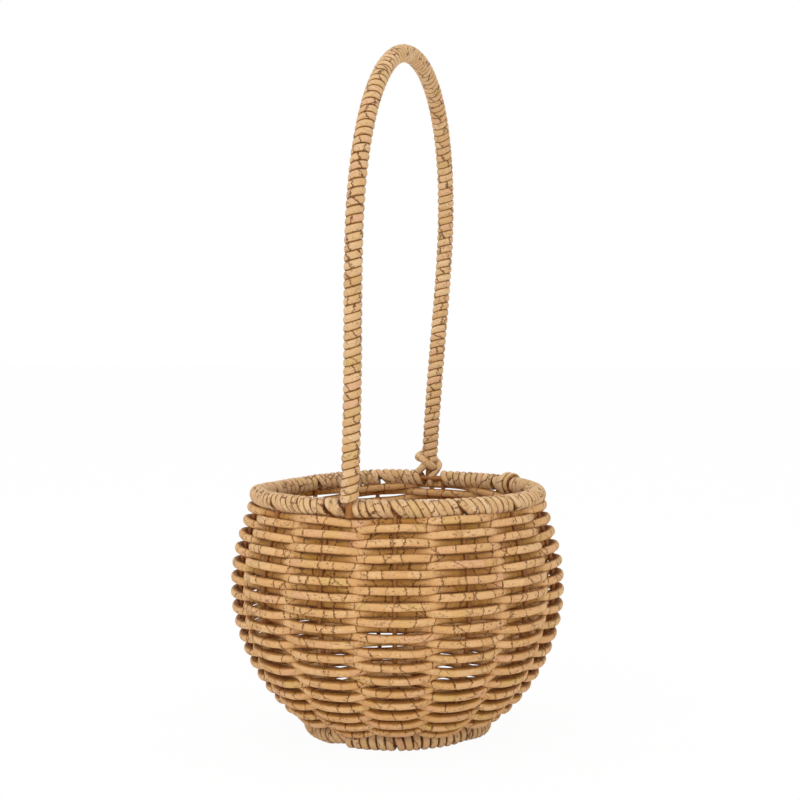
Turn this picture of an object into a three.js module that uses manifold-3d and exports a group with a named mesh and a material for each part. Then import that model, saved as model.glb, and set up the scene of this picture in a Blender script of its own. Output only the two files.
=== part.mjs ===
// Round wire-framed basket: iron ribs and hoops, woven and bound with paper cord, and one fixed arched handle.
// Millimetres, +Z up. The origin is on the floor at the middle of the foot ring, and the handle spans X.
import * as THREE from 'three';
import { mergeVertices } from 'three/addons/utils/BufferGeometryUtils.js';
import Module from 'manifold-3d';

const wasm = await Module();
wasm.setup();

// Wires of the iron frame, by diameter
const ribWire = 2.3;
const hoopWire = 2.8;
const handleWire = 3.5;
const hubWire = 2.3;

// Body: every rib follows one meridian, from the hub over the foot ring and the belly to the rim
const rimRadius = 69.6;
const rimHeight = 119;
const bellyRadius = 78.2;
const bellyHeight = 72.9;
const footRadius = 42.8;
const hubRadius = 12;
const footPullOut = 13.3;
const footPullUp = 3;
const bellyPullDown = 29.4;
const bellyPullUp = 24;
const rimPullOut = 1;
const rimPullDown = 16;

// Ribs: one more than so many pairs, because over an odd number one cord weaves round and round alone.
// They are set by hand, so in degrees: where the first one stands, and how far the others drift.
const ribPairs = 6;
const ribTurn = -1.3;
const ribDrift = 4.3;
const ribDriftPeak = 5;

// Weaving cord, by its section across the wall and along it, and the rows that it makes
const cordThick = 3.6;
const cordTall = 3.2;
const rowPitch = 3.52;
const firstRowRise = 5.3;
const lastRowDrop = 6;
const startRib = 6;
const wallCordCount = 6;
const overRibShare = 0.17;
const bottomStart = 6.2;
const bottomStop = 6.4;

// Cord wound round the wires: its thickness, the grooves between its turns, and the width of a turn
const bindingThick = 2.75;
const grooveDepth = 1;
const handlePitch = 3.95;
const rimPitch = 3.8;
const footPitch = 4;
const footFlat = 0.5;
const footBreak = 1.4;

// Handle: half an arch in the XZ plane, then leaned about the line through its feet, in degrees
const handleTop = 335.8;
const handleHalfSpan = 82;
const shoulderHeight = 248;
const legPullUp = 71;
const legPullDown = 34;
const legSpread = 0.6;
const shoulderPull = 54;
const crownPull = 46;
const handleLean = 2.4;
const handleAside = 2.2;
const handleFootDrop = 4.2;

// How far from the handle's foot the rim's binding stops, on each side, and the handle's above the rim
const frontLooseSide = 5.4;
const frontTightSide = 2.6;
const backLooseSide = 4.4;
const frontBindingRise = 4.9;

// Lashing at the back foot: a loop round the foot and one round the rim hoop
const lashCord = 2.8;
const lashRise = 8.2;
const lashFall = 3.8;
const lashClimb = 1.5;
const lashSlack = 1.1;
const lashBow = 0.25;
const lashTuck = 20;
const lashHoopArc = 57;

// Room between pieces that touch on the real basket, and what a bore or a bend round a rib adds to it
const clearance = 0.3;
const boreRoom = 0.2;
const cornerRoom = 0.15;

// Facets
const wireSides = 5;
const cordSides = 4;
const hoopSteps = 40;
const hubSteps = 24;
const ribWallSteps = 13;
const handleSteps = 38;
const turnSteps = 5;
const boreSag = 0.35;
const lashStops = 5;
const lashSteps = 19;

const ironRed = new THREE.MeshStandardMaterial({ color: 0x8a4a2c, roughness: 0.55, metalness: 0.25 });
const wovenTan = new THREE.MeshStandardMaterial({ color: 0xd9b07c, roughness: 0.8, metalness: 0 });
const boundTan = new THREE.MeshStandardMaterial({ color: 0xdeba8a, roughness: 0.78, metalness: 0 });

const fullTurn = 2 * Math.PI;
const ribCount = 2 * ribPairs + 1;
const upward = new THREE.Vector3(0, 0, 1);
const basket = new THREE.Group();

function addPiece(name, geometry, material) {
  const mesh = new THREE.Mesh(geometry, material);
  mesh.name = name;
  basket.add(mesh);
}

function meshOf(points, triangles) {
  const geometry = new THREE.BufferGeometry();
  const numbers = points.flatMap((point) => point.toArray());
  geometry.setAttribute('position', new THREE.Float32BufferAttribute(numbers, 3));
  geometry.setIndex(triangles.flat());
  return geometry;
}

// A frame is a point on a path with two unit vectors across it, and out x side runs along the path
function acrossFrame(frame, out, side) {
  return frame.at.clone().addScaledVector(frame.out, out).addScaledVector(frame.side, side);
}

function sectionRing(frame, halfOut, halfSide, sides) {
  return Array.from({ length: sides }, (_, k) => {
    const angle = (fullTurn * k) / sides;
    return acrossFrame(frame, halfOut * Math.cos(angle), halfSide * Math.sin(angle));
  });
}

// Closed tube through frames, capped at both ends, or joined end to end when it is a ring
function tube(frames, halfOut, halfSide, sides, isRing = false) {
  const rings = frames.map((frame) => sectionRing(frame, halfOut, halfSide, sides));
  const triangles = [];
  const spans = isRing ? rings.length : rings.length - 1;
  for (let i = 0; i < spans; i += 1) {
    const here = i * sides;
    const next = ((i + 1) % rings.length) * sides;
    for (let k = 0; k < sides; k += 1) {
      const beside = (k + 1) % sides;
      triangles.push([here + k, here + beside, next + beside], [here + k, next + beside, next + k]);
    }
  }
  if (!isRing) {
    const last = (rings.length - 1) * sides;
    for (let k = 1; k < sides - 1; k += 1) {
      triangles.push([0, k + 1, k], [last, last + k, last + k + 1]);
    }
  }
  return meshOf(rings.flat(), triangles);
}

// Frame on a level circle that runs counterclockwise, with out pointing away from the axis
function circleFrame(radius, height, angle) {
  const out = new THREE.Vector3(Math.cos(angle), Math.sin(angle), 0);
  const at = out.clone().multiplyScalar(radius).setZ(height);
  return { at, out, side: upward.clone().negate() };
}

function hoop(radius, height, wire, steps) {
  const frames = Array.from({ length: steps }, (_, k) => circleFrame(radius, height, (fullTurn * k) / steps));
  return tube(frames, wire / 2, wire / 2, wireSides, true);
}

// How far the flats of a faceted turn lie from its middle, as a share of its corners' radius
const flatShare = Math.cos(Math.PI / turnSteps);

// Cord wound along a path as one unbroken ridge on a sleeve, with a bore for the wire.
// The crest line climbs out of the groove in the first turn and runs back into it in the last,
// and both of those turns lie flat, so they are the sleeve's end faces.
function winding(frameAt, length, pitch, wire, boreSteps, room, phase = 0) {
  const crest = wire / 2 + bindingThick;
  const groove = crest - grooveDepth;
  const turns = Math.round(length / pitch);
  const last = turnSteps * (turns + 2);
  const advance = length / (turnSteps * turns);
  const along = (i) => advance * Math.min(Math.max(i - turnSteps, 0), turnSteps * turns);
  const point = (i, distance, radius) => {
    const angle = phase + (fullTurn * i) / turnSteps;
    return acrossFrame(frameAt(distance), radius * Math.cos(angle), radius * Math.sin(angle));
  };
  const points = [];
  const triangles = [];
  for (let i = 0; i <= last; i += 1) {
    const climb = Math.min(1, i / turnSteps, (last - i) / turnSteps);
    points.push(point(i, along(i), groove + grooveDepth * climb));
  }
  // The groove runs half a turn after the crest line, and its two ends are the crest line's own
  const grooveEnd = last - turnSteps;
  const low = (i) => {
    if (i === 0) return 0;
    return i === grooveEnd ? last : last + i;
  };
  for (let i = 1; i < grooveEnd; i += 1) {
    points.push(point(i, (along(i) + along(i + turnSteps)) / 2, groove));
  }
  for (let i = 0; i < grooveEnd; i += 1) {
    const nextTurn = i + turnSteps;
    triangles.push([i, i + 1, low(i + 1)], [low(i), low(i + 1), nextTurn + 1]);
    if (i > 0) triangles.push([i, low(i + 1), low(i)]);
    if (i + 1 < grooveEnd || low(i) !== nextTurn + 1) triangles.push([low(i), nextTurn + 1, nextTurn]);
  }
  const bore = points.length;
  for (let ring = 0; ring <= boreSteps; ring += 1) {
    for (let k = 0; k < turnSteps; k += 1) {
      points.push(point(k, (length * ring) / boreSteps, (wire / 2 + room) / flatShare));
    }
  }
  const onBore = (ring, k) => bore + ring * turnSteps + (k % turnSteps);
  for (let ring = 0; ring < boreSteps; ring += 1) {
    for (let k = 0; k < turnSteps; k += 1) {
      triangles.push([onBore(ring, k + 1), onBore(ring, k), onBore(ring + 1, k)]);
      triangles.push([onBore(ring, k + 1), onBore(ring + 1, k), onBore(ring + 1, k + 1)]);
    }
  }
  // Each end face has a step where its turn's two ends meet, so one of its sides takes three triangles
  const stepStart = turnSteps - 1;
  for (let k = 0; k < stepStart; k += 1) {
    triangles.push([k + 1, k, onBore(0, k)], [k + 1, onBore(0, k), onBore(0, k + 1)]);
  }
  triangles.push([onBore(0, stepStart), onBore(0, 0), 0]);
  triangles.push([onBore(0, stepStart), 0, turnSteps]);
  triangles.push([onBore(0, stepStart), turnSteps, stepStart]);
  for (let k = 1; k < turnSteps; k += 1) {
    const rim = grooveEnd + k;
    triangles.push([rim, rim + 1, onBore(boreSteps, k + 1)], [rim, onBore(boreSteps, k + 1), onBore(boreSteps, k)]);
  }
  triangles.push([onBore(boreSteps, 1), onBore(boreSteps, 0), last]);
  triangles.push([onBore(boreSteps, 1), last, grooveEnd]);
  triangles.push([onBore(boreSteps, 1), grooveEnd, grooveEnd + 1]);
  const crests = points.slice(turnSteps, grooveEnd + 1);
  const spacing = Math.min(...crests.slice(turnSteps).map((far, i) => far.distanceTo(crests[i])));
  return { geometry: meshOf(points, triangles), turns, spacing };
}

function solidOf(geometry) {
  const vertProperties = new Float32Array(geometry.getAttribute('position').array);
  const triVerts = new Uint32Array(geometry.getIndex().array);
  return new wasm.Manifold(new wasm.Mesh({ numProp: 3, vertProperties, triVerts }));
}

function geometryOf(solid) {
  const mesh = solid.getMesh();
  const geometry = new THREE.BufferGeometry();
  geometry.setAttribute('position', new THREE.BufferAttribute(mesh.vertProperties, 3));
  geometry.setIndex(new THREE.BufferAttribute(mesh.triVerts, 1));
  return geometry;
}

// The foot ring's turns stand on a corner that is cut flat, and the ribs lie on their flat tops
const footCrest = hoopWire / 2 + bindingThick;
const footHeight = footCrest - footFlat;
const floorHeight = footHeight + footCrest * flatShare + clearance + ribWire / 2;
const weaveOffset = ribWire / 2 + clearance + cordThick / 2;

// The meridian of the wall, as radius and height, from the foot ring to the rim
const footPoint = new THREE.Vector2(footRadius, floorHeight);
const bellyPoint = new THREE.Vector2(bellyRadius, bellyHeight);
const rimPoint = new THREE.Vector2(rimRadius, rimHeight);
const wallLine = new THREE.CurvePath();
wallLine.add(
  new THREE.CubicBezierCurve(
    footPoint,
    footPoint.clone().add(new THREE.Vector2(footPullOut, footPullUp)),
    bellyPoint.clone().add(new THREE.Vector2(0, -bellyPullDown)),
    bellyPoint,
  ),
);
wallLine.add(
  new THREE.CubicBezierCurve(
    bellyPoint,
    bellyPoint.clone().add(new THREE.Vector2(0, bellyPullUp)),
    rimPoint.clone().add(new THREE.Vector2(rimPullOut, -rimPullDown)),
    rimPoint,
  ),
);
const wallLength = wallLine.getLength();

// Frame at a place on the wall's meridian: out is square to the wall, and along runs up it
function wallFrame(distance, angle) {
  const share = distance / wallLength;
  const point = wallLine.getPoint(share);
  const slope = wallLine.getTangent(share);
  const radial = new THREE.Vector3(Math.cos(angle), Math.sin(angle), 0);
  const at = radial.clone().multiplyScalar(point.x).setZ(point.y);
  const along = radial.clone().multiplyScalar(slope.x).setZ(slope.y);
  const out = radial.clone().multiplyScalar(slope.y).setZ(-slope.x);
  return { at, out, along };
}

// The angle of a rib, or of any place between ribs when the number isn't whole
function ribAngle(number) {
  const share = number / ribCount;
  const drift = ribDrift * Math.cos(fullTurn * (share - ribDriftPeak / ribCount));
  return fullTurn * share + THREE.MathUtils.degToRad(ribTurn + drift);
}

// Rib: in from the hub's edge, over the foot ring, and up the wall to end under the rim hoop
function ribFrames(number, topGap) {
  const angle = ribAngle(number);
  const radial = new THREE.Vector3(Math.cos(angle), Math.sin(angle), 0);
  const side = new THREE.Vector3(-Math.sin(angle), Math.cos(angle), 0);
  const innerEnd = hubRadius + hubWire / 2 + clearance;
  const inner = radial.clone().multiplyScalar(innerEnd).setZ(floorHeight);
  const frames = [{ at: inner, out: upward.clone().negate(), side }];
  for (let step = 0; step <= ribWallSteps; step += 1) {
    const distance = ((wallLength - hoopWire / 2 - topGap) * step) / ribWallSteps;
    const { at, out } = wallFrame(distance, angle);
    frames.push({ at, out, side });
  }
  return frames;
}

function rib(number) {
  return tube(ribFrames(number, clearance), ribWire / 2, ribWire / 2, wireSides);
}

// What a binding leaves free round every rib that passes through it
function withoutRibs(geometry) {
  const room = ribWire / 2 + clearance;
  let solid = solidOf(geometry);
  for (let number = 0; number < ribCount; number += 1) {
    solid = solid.subtract(solidOf(tube(ribFrames(number, 0), room, room, wireSides)));
  }
  return solid;
}

// Cord woven past rib crossings first to last: outside the wall at even crossings, inside at odd ones.
// frameAt gives the frame of the untouched wall at a crossing, which needn't be a whole number.
function weave(frameAt, first, last, innerSpread) {
  const tuck = clearance / 2 / ((fullTurn * footRadius) / ribCount);
  const stops = [];
  for (let crossing = first; crossing <= last; crossing += 1) {
    const isOuter = crossing % 2 === 0;
    const spread = isOuter ? overRibShare : innerSpread;
    const places = spread > 0 ? [crossing - spread, crossing + spread] : [crossing];
    const reach = spread > 0 ? weaveOffset : weaveOffset + cornerRoom;
    for (const place of places) {
      const inside = Math.min(Math.max(place, first + tuck), last - tuck);
      stops.push({ place: inside, offset: isOuter ? reach : -reach });
    }
  }
  const own = stops.filter((stop, i) => i === 0 || stop.place > stops[i - 1].place);
  const frames = own.map(({ place, offset }) => {
    const { at, out, along } = frameAt(place);
    return { at: at.clone().addScaledVector(out, offset), out, side: along.clone().negate() };
  });
  return tube(frames, cordThick / 2, cordTall / 2, cordSides);
}

const wallRows = (wallLength - firstRowRise - lastRowDrop) / rowPitch;
const wallCrossings = Math.floor(wallRows * ribCount);

function wallPlace(crossing) {
  return wallFrame(firstRowRise + (rowPitch * crossing) / ribCount, ribAngle(startRib + crossing));
}

// A joined length of cord starts and ends inside, behind a rib, so at an odd crossing
function joinCrossing(length) {
  return 2 * Math.floor((wallCrossings * length) / wallCordCount / 2) + 1;
}

const bottomFirst = hubRadius + bottomStart;
const bottomLast = footRadius - bottomStop;

function bottomPlace(crossing) {
  const angle = ribAngle(crossing);
  const radial = new THREE.Vector3(Math.cos(angle), Math.sin(angle), 0);
  const radius = bottomFirst + (rowPitch * crossing) / ribCount;
  const at = radial.clone().multiplyScalar(radius).setZ(floorHeight);
  return { at, out: upward.clone().negate(), along: radial };
}

// The handle's line: out of the rim, up to its shoulder and half over the top, then the same back down
const footX = rimRadius + hoopWire / 2 + clearance + handleWire / 2;

function legCurve(sign) {
  return new THREE.CubicBezierCurve3(
    new THREE.Vector3(sign * footX, 0, rimHeight),
    new THREE.Vector3(sign * (footX + legSpread), 0, rimHeight + legPullUp),
    new THREE.Vector3(sign * handleHalfSpan, 0, shoulderHeight - legPullDown),
    new THREE.Vector3(sign * handleHalfSpan, 0, shoulderHeight),
  );
}

function crownCurve(sign) {
  return new THREE.CubicBezierCurve3(
    new THREE.Vector3(sign * handleHalfSpan, 0, shoulderHeight),
    new THREE.Vector3(sign * handleHalfSpan, 0, shoulderHeight + shoulderPull),
    new THREE.Vector3(sign * crownPull, 0, handleTop),
    new THREE.Vector3(0, 0, handleTop),
  );
}

function backwards(curve) {
  return new THREE.CubicBezierCurve3(curve.v3, curve.v2, curve.v1, curve.v0);
}

const arch = new THREE.CurvePath();
arch.add(new THREE.LineCurve3(
  new THREE.Vector3(-footX, 0, rimHeight - handleFootDrop),
  new THREE.Vector3(-footX, 0, rimHeight),
));
arch.add(legCurve(-1));
arch.add(crownCurve(-1));
arch.add(backwards(crownCurve(1)));
arch.add(backwards(legCurve(1)));
arch.add(new THREE.LineCurve3(
  new THREE.Vector3(footX, 0, rimHeight),
  new THREE.Vector3(footX, 0, rimHeight - handleFootDrop),
));
const archLength = arch.getLength();
const leanTurn = THREE.MathUtils.degToRad(handleLean);
const feetLine = new THREE.Vector3(0, handleAside, rimHeight);

function leaned(point) {
  const flat = point.clone().setZ(point.z - rimHeight);
  return flat.applyAxisAngle(new THREE.Vector3(1, 0, 0), leanTurn).add(feetLine);
}

function archFrame(distance) {
  const share = distance / archLength;
  const level = new THREE.Vector3(0, 1, 0).applyAxisAngle(new THREE.Vector3(1, 0, 0), leanTurn);
  const along = arch.getTangent(share).applyAxisAngle(new THREE.Vector3(1, 0, 0), leanTurn);
  const out = level.clone().cross(along).negate();
  return { at: leaned(arch.getPoint(share)), out, side: along.clone().cross(out) };
}

const backBindingRise = lashRise + lashClimb + lashCord / 2 + clearance;
const bindingStart = handleFootDrop + frontBindingRise;
const bindingStop = archLength - handleFootDrop - backBindingRise;
const bindingLength = bindingStop - bindingStart;

// The lashing's line: from behind the rim hoop, under it and up inside, then once round the foot
function lashingLine() {
  const round = handleWire / 2 + clearance + lashCord / 2 + lashBow;
  const under = hoopWire / 2 + clearance + lashCord / 2 + lashBow;
  const places = [];
  for (let step = 0; step < lashStops; step += 1) {
    const angle = THREE.MathUtils.degToRad(lashTuck - lashHoopArc * step);
    const x = rimRadius - footX + under * Math.cos(angle);
    places.push(new THREE.Vector3(x, -round, under * Math.sin(angle)));
  }
  for (let step = 0; step < lashStops; step += 1) {
    const angle = (fullTurn * (step - 1)) / 4;
    const slack = step === 0 || step === lashStops - 1 ? 0 : lashSlack;
    const z = lashRise + lashClimb - (lashFall * (lashStops - 1 - step)) / (lashStops - 1);
    places.push(new THREE.Vector3((round + slack) * Math.cos(angle), (round + slack) * Math.sin(angle), z));
  }
  const foot = new THREE.Vector3(footX, handleAside, rimHeight);
  return new THREE.CatmullRomCurve3(places.map((place) => place.add(foot)));
}

function lashing() {
  const line = lashingLine();
  const { binormals, normals } = line.computeFrenetFrames(lashSteps, false);
  const points = line.getSpacedPoints(lashSteps);
  const frames = points.map((at, i) => ({ at, out: normals[i], side: binormals[i] }));
  const nextTurn = Math.ceil((fullTurn * lashCord * lashSteps) / line.getLength() / 2);
  const gaps = [];
  points.forEach((a, i) => {
    points.slice(i + nextTurn).forEach((b) => gaps.push(a.distanceTo(b) - lashCord));
  });
  return { geometry: tube(frames, lashCord / 2, lashCord / 2, wireSides), gap: Math.min(...gaps) };
}

// The rim hoop's angle at a distance aside from the XZ plane, near the back foot or the front one
function backAngle(aside) {
  return Math.asin(aside / rimRadius);
}

function frontAngle(aside) {
  return Math.PI - Math.asin(aside / rimRadius);
}

// A corner of each turn points straight down, where the foot ring's turns are cut flat
function ringBinding(radius, height, from, to, pitch) {
  const length = radius * (to - from);
  const boreSteps = Math.ceil(length / Math.sqrt(8 * radius * boreSag));
  const frameAt = (distance) => circleFrame(radius, height, from + distance / radius);
  return winding(frameAt, length, pitch, hoopWire, boreSteps, clearance + boreRoom, fullTurn / 4);
}

function report(name, form) {
  console.log(`${name}: ${form.turns} turns, least ridge spacing ${form.spacing.toFixed(2)} mm`);
}

// Iron frame
addPiece('hub_ring', hoop(hubRadius, floorHeight, hubWire, hubSteps), ironRed);
addPiece('foot_hoop', hoop(footRadius, footHeight, hoopWire, hoopSteps), ironRed);
addPiece('rim_hoop', hoop(rimRadius, rimHeight, hoopWire, hoopSteps), ironRed);
for (let number = 0; number < ribCount; number += 1) {
  addPiece(`rib_${String(number + 1).padStart(2, '0')}`, rib(number), ironRed);
}

const wireStops = [0, bindingStart];
for (let step = 1; step <= handleSteps; step += 1) {
  wireStops.push(bindingStart + (bindingLength * step) / handleSteps);
}
wireStops.push(archLength);
addPiece('handle_wire', tube(wireStops.map(archFrame), handleWire / 2, handleWire / 2, wireSides), ironRed);

// Weaving
for (let length = 0; length < wallCordCount; length += 1) {
  const cord = weave(wallPlace, joinCrossing(length), joinCrossing(length + 1), 0);
  addPiece(`wall_cord_${length + 1}`, cord, wovenTan);
}
const bottomCrossings = Math.floor(((bottomLast - bottomFirst) / rowPitch) * ribCount);
addPiece('bottom_cord', weave(bottomPlace, 1, bottomCrossings, overRibShare), wovenTan);

// Bindings
const handleBinding = winding(
  (distance) => archFrame(bindingStart + distance),
  bindingLength,
  handlePitch,
  handleWire,
  handleSteps,
  clearance,
);
report('handle_binding', handleBinding);
addPiece('handle_binding', handleBinding.geometry, boundTan);

const leftBinding = ringBinding(
  rimRadius,
  rimHeight,
  backAngle(handleAside + backLooseSide),
  frontAngle(handleAside + frontLooseSide),
  rimPitch,
);
report('rim_binding_left', leftBinding);
addPiece('rim_binding_left', geometryOf(withoutRibs(leftBinding.geometry)), boundTan);

// The right one stops short of the rib beside the back foot, which has no turns over its end
const rightBinding = ringBinding(
  rimRadius,
  rimHeight,
  frontAngle(handleAside - frontTightSide),
  fullTurn + ribAngle(0) - (ribWire / 2 + 2 * clearance) / rimRadius,
  rimPitch,
);
report('rim_binding_right', rightBinding);
addPiece('rim_binding_right', geometryOf(withoutRibs(rightBinding.geometry)), boundTan);

const halfBreak = footBreak / 2 / footRadius;
const footBinding = ringBinding(footRadius, footHeight, halfBreak, fullTurn - halfBreak, footPitch);
report('foot_binding', footBinding);
const floorBlock = new THREE.BoxGeometry(4 * footRadius, 4 * footRadius, footRadius);
floorBlock.translate(0, 0, -footRadius / 2);
floorBlock.deleteAttribute('normal');
floorBlock.deleteAttribute('uv');
const standing = solidOf(footBinding.geometry).subtract(solidOf(mergeVertices(floorBlock)));
addPiece('foot_binding', geometryOf(standing), boundTan);

const footLashing = lashing();
console.log(`handle_lashing: least gap to itself ${footLashing.gap.toFixed(2)} mm`);
addPiece('handle_lashing', footLashing.geometry, boundTan);

export default basket;
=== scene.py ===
"""A round basket of paper cord on a painted iron wire frame, with one fixed arched handle.

Metres, +Z up. The origin is on the floor at the middle of the foot ring, and the handle spans X.
"""

from __future__ import annotations

import logging
import math
import sys
from collections.abc import Mapping, Sequence
from dataclasses import dataclass, fields, replace
from enum import Enum
from typing import Any

import bmesh
import bpy
from bpy.types import ID, ColorRamp, Material, Mesh, NodeSocket, NodeTree, Object
from mathutils import Color, Matrix, Vector

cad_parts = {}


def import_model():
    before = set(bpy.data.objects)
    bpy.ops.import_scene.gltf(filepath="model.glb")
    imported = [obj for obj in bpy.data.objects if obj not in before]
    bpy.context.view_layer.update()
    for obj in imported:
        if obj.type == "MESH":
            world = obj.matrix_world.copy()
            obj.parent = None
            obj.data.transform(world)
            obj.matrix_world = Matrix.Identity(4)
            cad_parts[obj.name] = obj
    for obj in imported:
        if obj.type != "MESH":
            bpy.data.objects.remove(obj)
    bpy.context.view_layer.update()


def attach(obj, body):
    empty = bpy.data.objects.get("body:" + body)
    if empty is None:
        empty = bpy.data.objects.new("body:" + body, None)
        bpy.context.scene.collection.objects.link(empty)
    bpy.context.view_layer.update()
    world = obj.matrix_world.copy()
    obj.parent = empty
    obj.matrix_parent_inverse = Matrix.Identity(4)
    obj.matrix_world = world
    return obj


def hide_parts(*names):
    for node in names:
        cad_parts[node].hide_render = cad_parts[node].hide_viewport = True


LOG = logging.getLogger("basket")
MM = 0.001
TAU = 2 * math.pi
UP = (0.0, 0.0, 1.0)
WHITE = "#ffffff"
BODY = "root"
# Attributes of a finished mesh: its place on the straight cord, and how far it lies against the ribs, where
# the finishes paint shade
CORD_PLACE = "cord_place"
TUCKED = "tucked"
# Attributes of a cord in the making
RUN = "run"
AROUND = "around"
PROUD = "proud"
# Attributes of a path's points
RIB_ASIDE = "rib_aside"
LEAN = "lean"
THICKER = "thicker"
RAISED = "raised"
# Waves of a cord's swelling in a metre
SWELL_WAVES = 110.0
# Waves of the rows' wander, round the basket and in a metre up the wall
WANDER_AROUND = 4.5
WANDER_UP = 55.0
# Waves of the turns' wander, in a turn along the wire and round it
WOBBLE_ALONG = 0.9
WOBBLE_AROUND = 0.4
# Share of a turn from its outermost to its lowest place
QUARTER = 0.25
# A rib's push on the turns beside it: how fast it fades from turn to turn, and the sines where it sets in
PUSH_FADE = 0.7
PUSH_FROM = -0.6
PUSH_FULL = 0.5


class Slot(Enum):
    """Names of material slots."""

    IRON = "painted_iron_wire"
    WOVEN = "woven_paper_cord"
    WOUND = "wound_paper_cord"


class Kind(Enum):
    """Kinds of input that a Geometry Nodes tree takes."""

    NUMBER = "NodeSocketFloat"
    COUNT = "NodeSocketInt"
    DIRECTION = "NodeSocketVector"
    PATH = "NodeSocketGeometry"
    FINISH = "NodeSocketMaterial"


def linear_colour(code: str) -> tuple[float, float, float, float]:
    """Turns a web colour into the linear numbers that a colour socket takes.

    Args:
        code: Six hexadecimal digits after a hash sign.

    Returns:
        Red, green, blue and a full alpha.
    """
    shares = Color([int(code[i : i + 2], 16) / 255 for i in (1, 3, 5)])
    return (*shares.from_srgb_to_scene_linear(), 1.0)


def is_vector(operand: Any) -> bool:
    """Says whether an operand has three numbers or is a socket that has.

    Args:
        operand: A Value, a number or several numbers.

    Returns:
        Whether it is a vector or a colour.
    """
    if isinstance(operand, Value):
        return operand.socket.type in ("VECTOR", "RGBA")
    return isinstance(operand, (tuple, list, Vector))


class Value:
    """A node's output, on which Python's operators add the nodes that they need."""

    def __init__(self, graph: Graph, socket: NodeSocket) -> None:
        """Keeps the output and the graph that it belongs to."""
        self.graph = graph
        self.socket = socket

    def _both(self, operation: str, left: Any, right: Any) -> Value:
        """Adds a Math or Vector Math node for two operands.

        Args:
            operation: Name of the operation, which both kinds of node share.
            left: First operand.
            right: Second operand.

        Returns:
            The node's output.
        """
        if not is_vector(left) and not is_vector(right):
            return self.graph.maths(operation, left, right)
        if operation == "MULTIPLY" and not (is_vector(left) and is_vector(right)):
            vector, number = (left, right) if is_vector(left) else (right, left)
            sockets = {"Vector": vector, "Scale": number}
            return self.graph.add("ShaderNodeVectorMath", {"operation": "SCALE"}, sockets)
        return self.graph.vector_maths(operation, left, right)

    def _one(self, operation: str) -> Value:
        """Adds a Math node with this value alone."""
        return self.graph.maths(operation, self)

    def __add__(self, other: Any) -> Value:
        """This value plus another."""
        return self._both("ADD", self, other)

    def __radd__(self, other: Any) -> Value:
        """A number plus this value."""
        return self._both("ADD", other, self)

    def __sub__(self, other: Any) -> Value:
        """This value minus another."""
        return self._both("SUBTRACT", self, other)

    def __rsub__(self, other: Any) -> Value:
        """A number minus this value."""
        return self._both("SUBTRACT", other, self)

    def __mul__(self, other: Any) -> Value:
        """This value times another."""
        return self._both("MULTIPLY", self, other)

    def __rmul__(self, other: Any) -> Value:
        """A number times this value."""
        return self._both("MULTIPLY", other, self)

    def __truediv__(self, other: Any) -> Value:
        """This value over another."""
        return self._both("DIVIDE", self, other)

    def __rtruediv__(self, other: Any) -> Value:
        """A number over this value."""
        return self._both("DIVIDE", other, self)

    def __pow__(self, other: Any) -> Value:
        """This value to a power."""
        return self._both("POWER", self, other)

    def __rpow__(self, other: Any) -> Value:
        """A number to this value's power."""
        return self._both("POWER", other, self)

    def __gt__(self, other: Any) -> Value:
        """One where this value is above another, else zero."""
        return self._both("GREATER_THAN", self, other)

    def __lt__(self, other: Any) -> Value:
        """One where this value is below another, else zero."""
        return self._both("LESS_THAN", self, other)

    @property
    def x(self) -> Value:
        """First number of a vector."""
        return self.graph.add("ShaderNodeSeparateXYZ", {}, {"Vector": self}, "X")

    @property
    def y(self) -> Value:
        """Second number of a vector."""
        return self.graph.add("ShaderNodeSeparateXYZ", {}, {"Vector": self}, "Y")

    @property
    def z(self) -> Value:
        """Third number of a vector."""
        return self.graph.add("ShaderNodeSeparateXYZ", {}, {"Vector": self}, "Z")

    def sine(self) -> Value:
        """Sine of this value."""
        return self._one("SINE")

    def cosine(self) -> Value:
        """Cosine of this value."""
        return self._one("COSINE")

    def tanh(self) -> Value:
        """Hyperbolic tangent of this value."""
        return self._one("TANH")

    def floor(self) -> Value:
        """Whole number below this value."""
        return self._one("FLOOR")

    def size(self) -> Value:
        """This value without its sign."""
        return self._one("ABSOLUTE")

    def sign(self) -> Value:
        """The sign of this value, as -1, 0 or 1."""
        return self._one("SIGN")

    def exponent(self) -> Value:
        """Euler's number to this value's power."""
        return self._one("EXPONENT")

    def at_least(self, other: Any) -> Value:
        """The larger of this value and another."""
        return self._both("MAXIMUM", self, other)

    def at_most(self, other: Any) -> Value:
        """The smaller of this value and another."""
        return self._both("MINIMUM", self, other)

    def ramp(self, low: Any, high: Any) -> Value:
        """A smooth step.

        Args:
            low: The value at which the step is still 0.
            high: The value at which it has reached 1, and it may be the smaller of the two.

        Returns:
            A number from 0 to 1.
        """
        settings = {"interpolation_type": "SMOOTHSTEP", "clamp": True}
        return self.graph.add("ShaderNodeMapRange", settings, {0: self, 1: low, 2: high, 3: 0.0, 4: 1.0})

    def dot(self, other: Any) -> Value:
        """Dot product with another vector."""
        return self.graph.vector_maths("DOT_PRODUCT", self, other, output="Value")

    def cross(self, other: Any) -> Value:
        """Cross product with another vector."""
        return self.graph.vector_maths("CROSS_PRODUCT", self, other)

    def unit(self) -> Value:
        """This vector at a length of one."""
        return self.graph.vector_maths("NORMALIZE", self)

    def sibling(self, name: str) -> Value:
        """Another output of the same node."""
        return Value(self.graph, self.socket.node.outputs[name])


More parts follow.
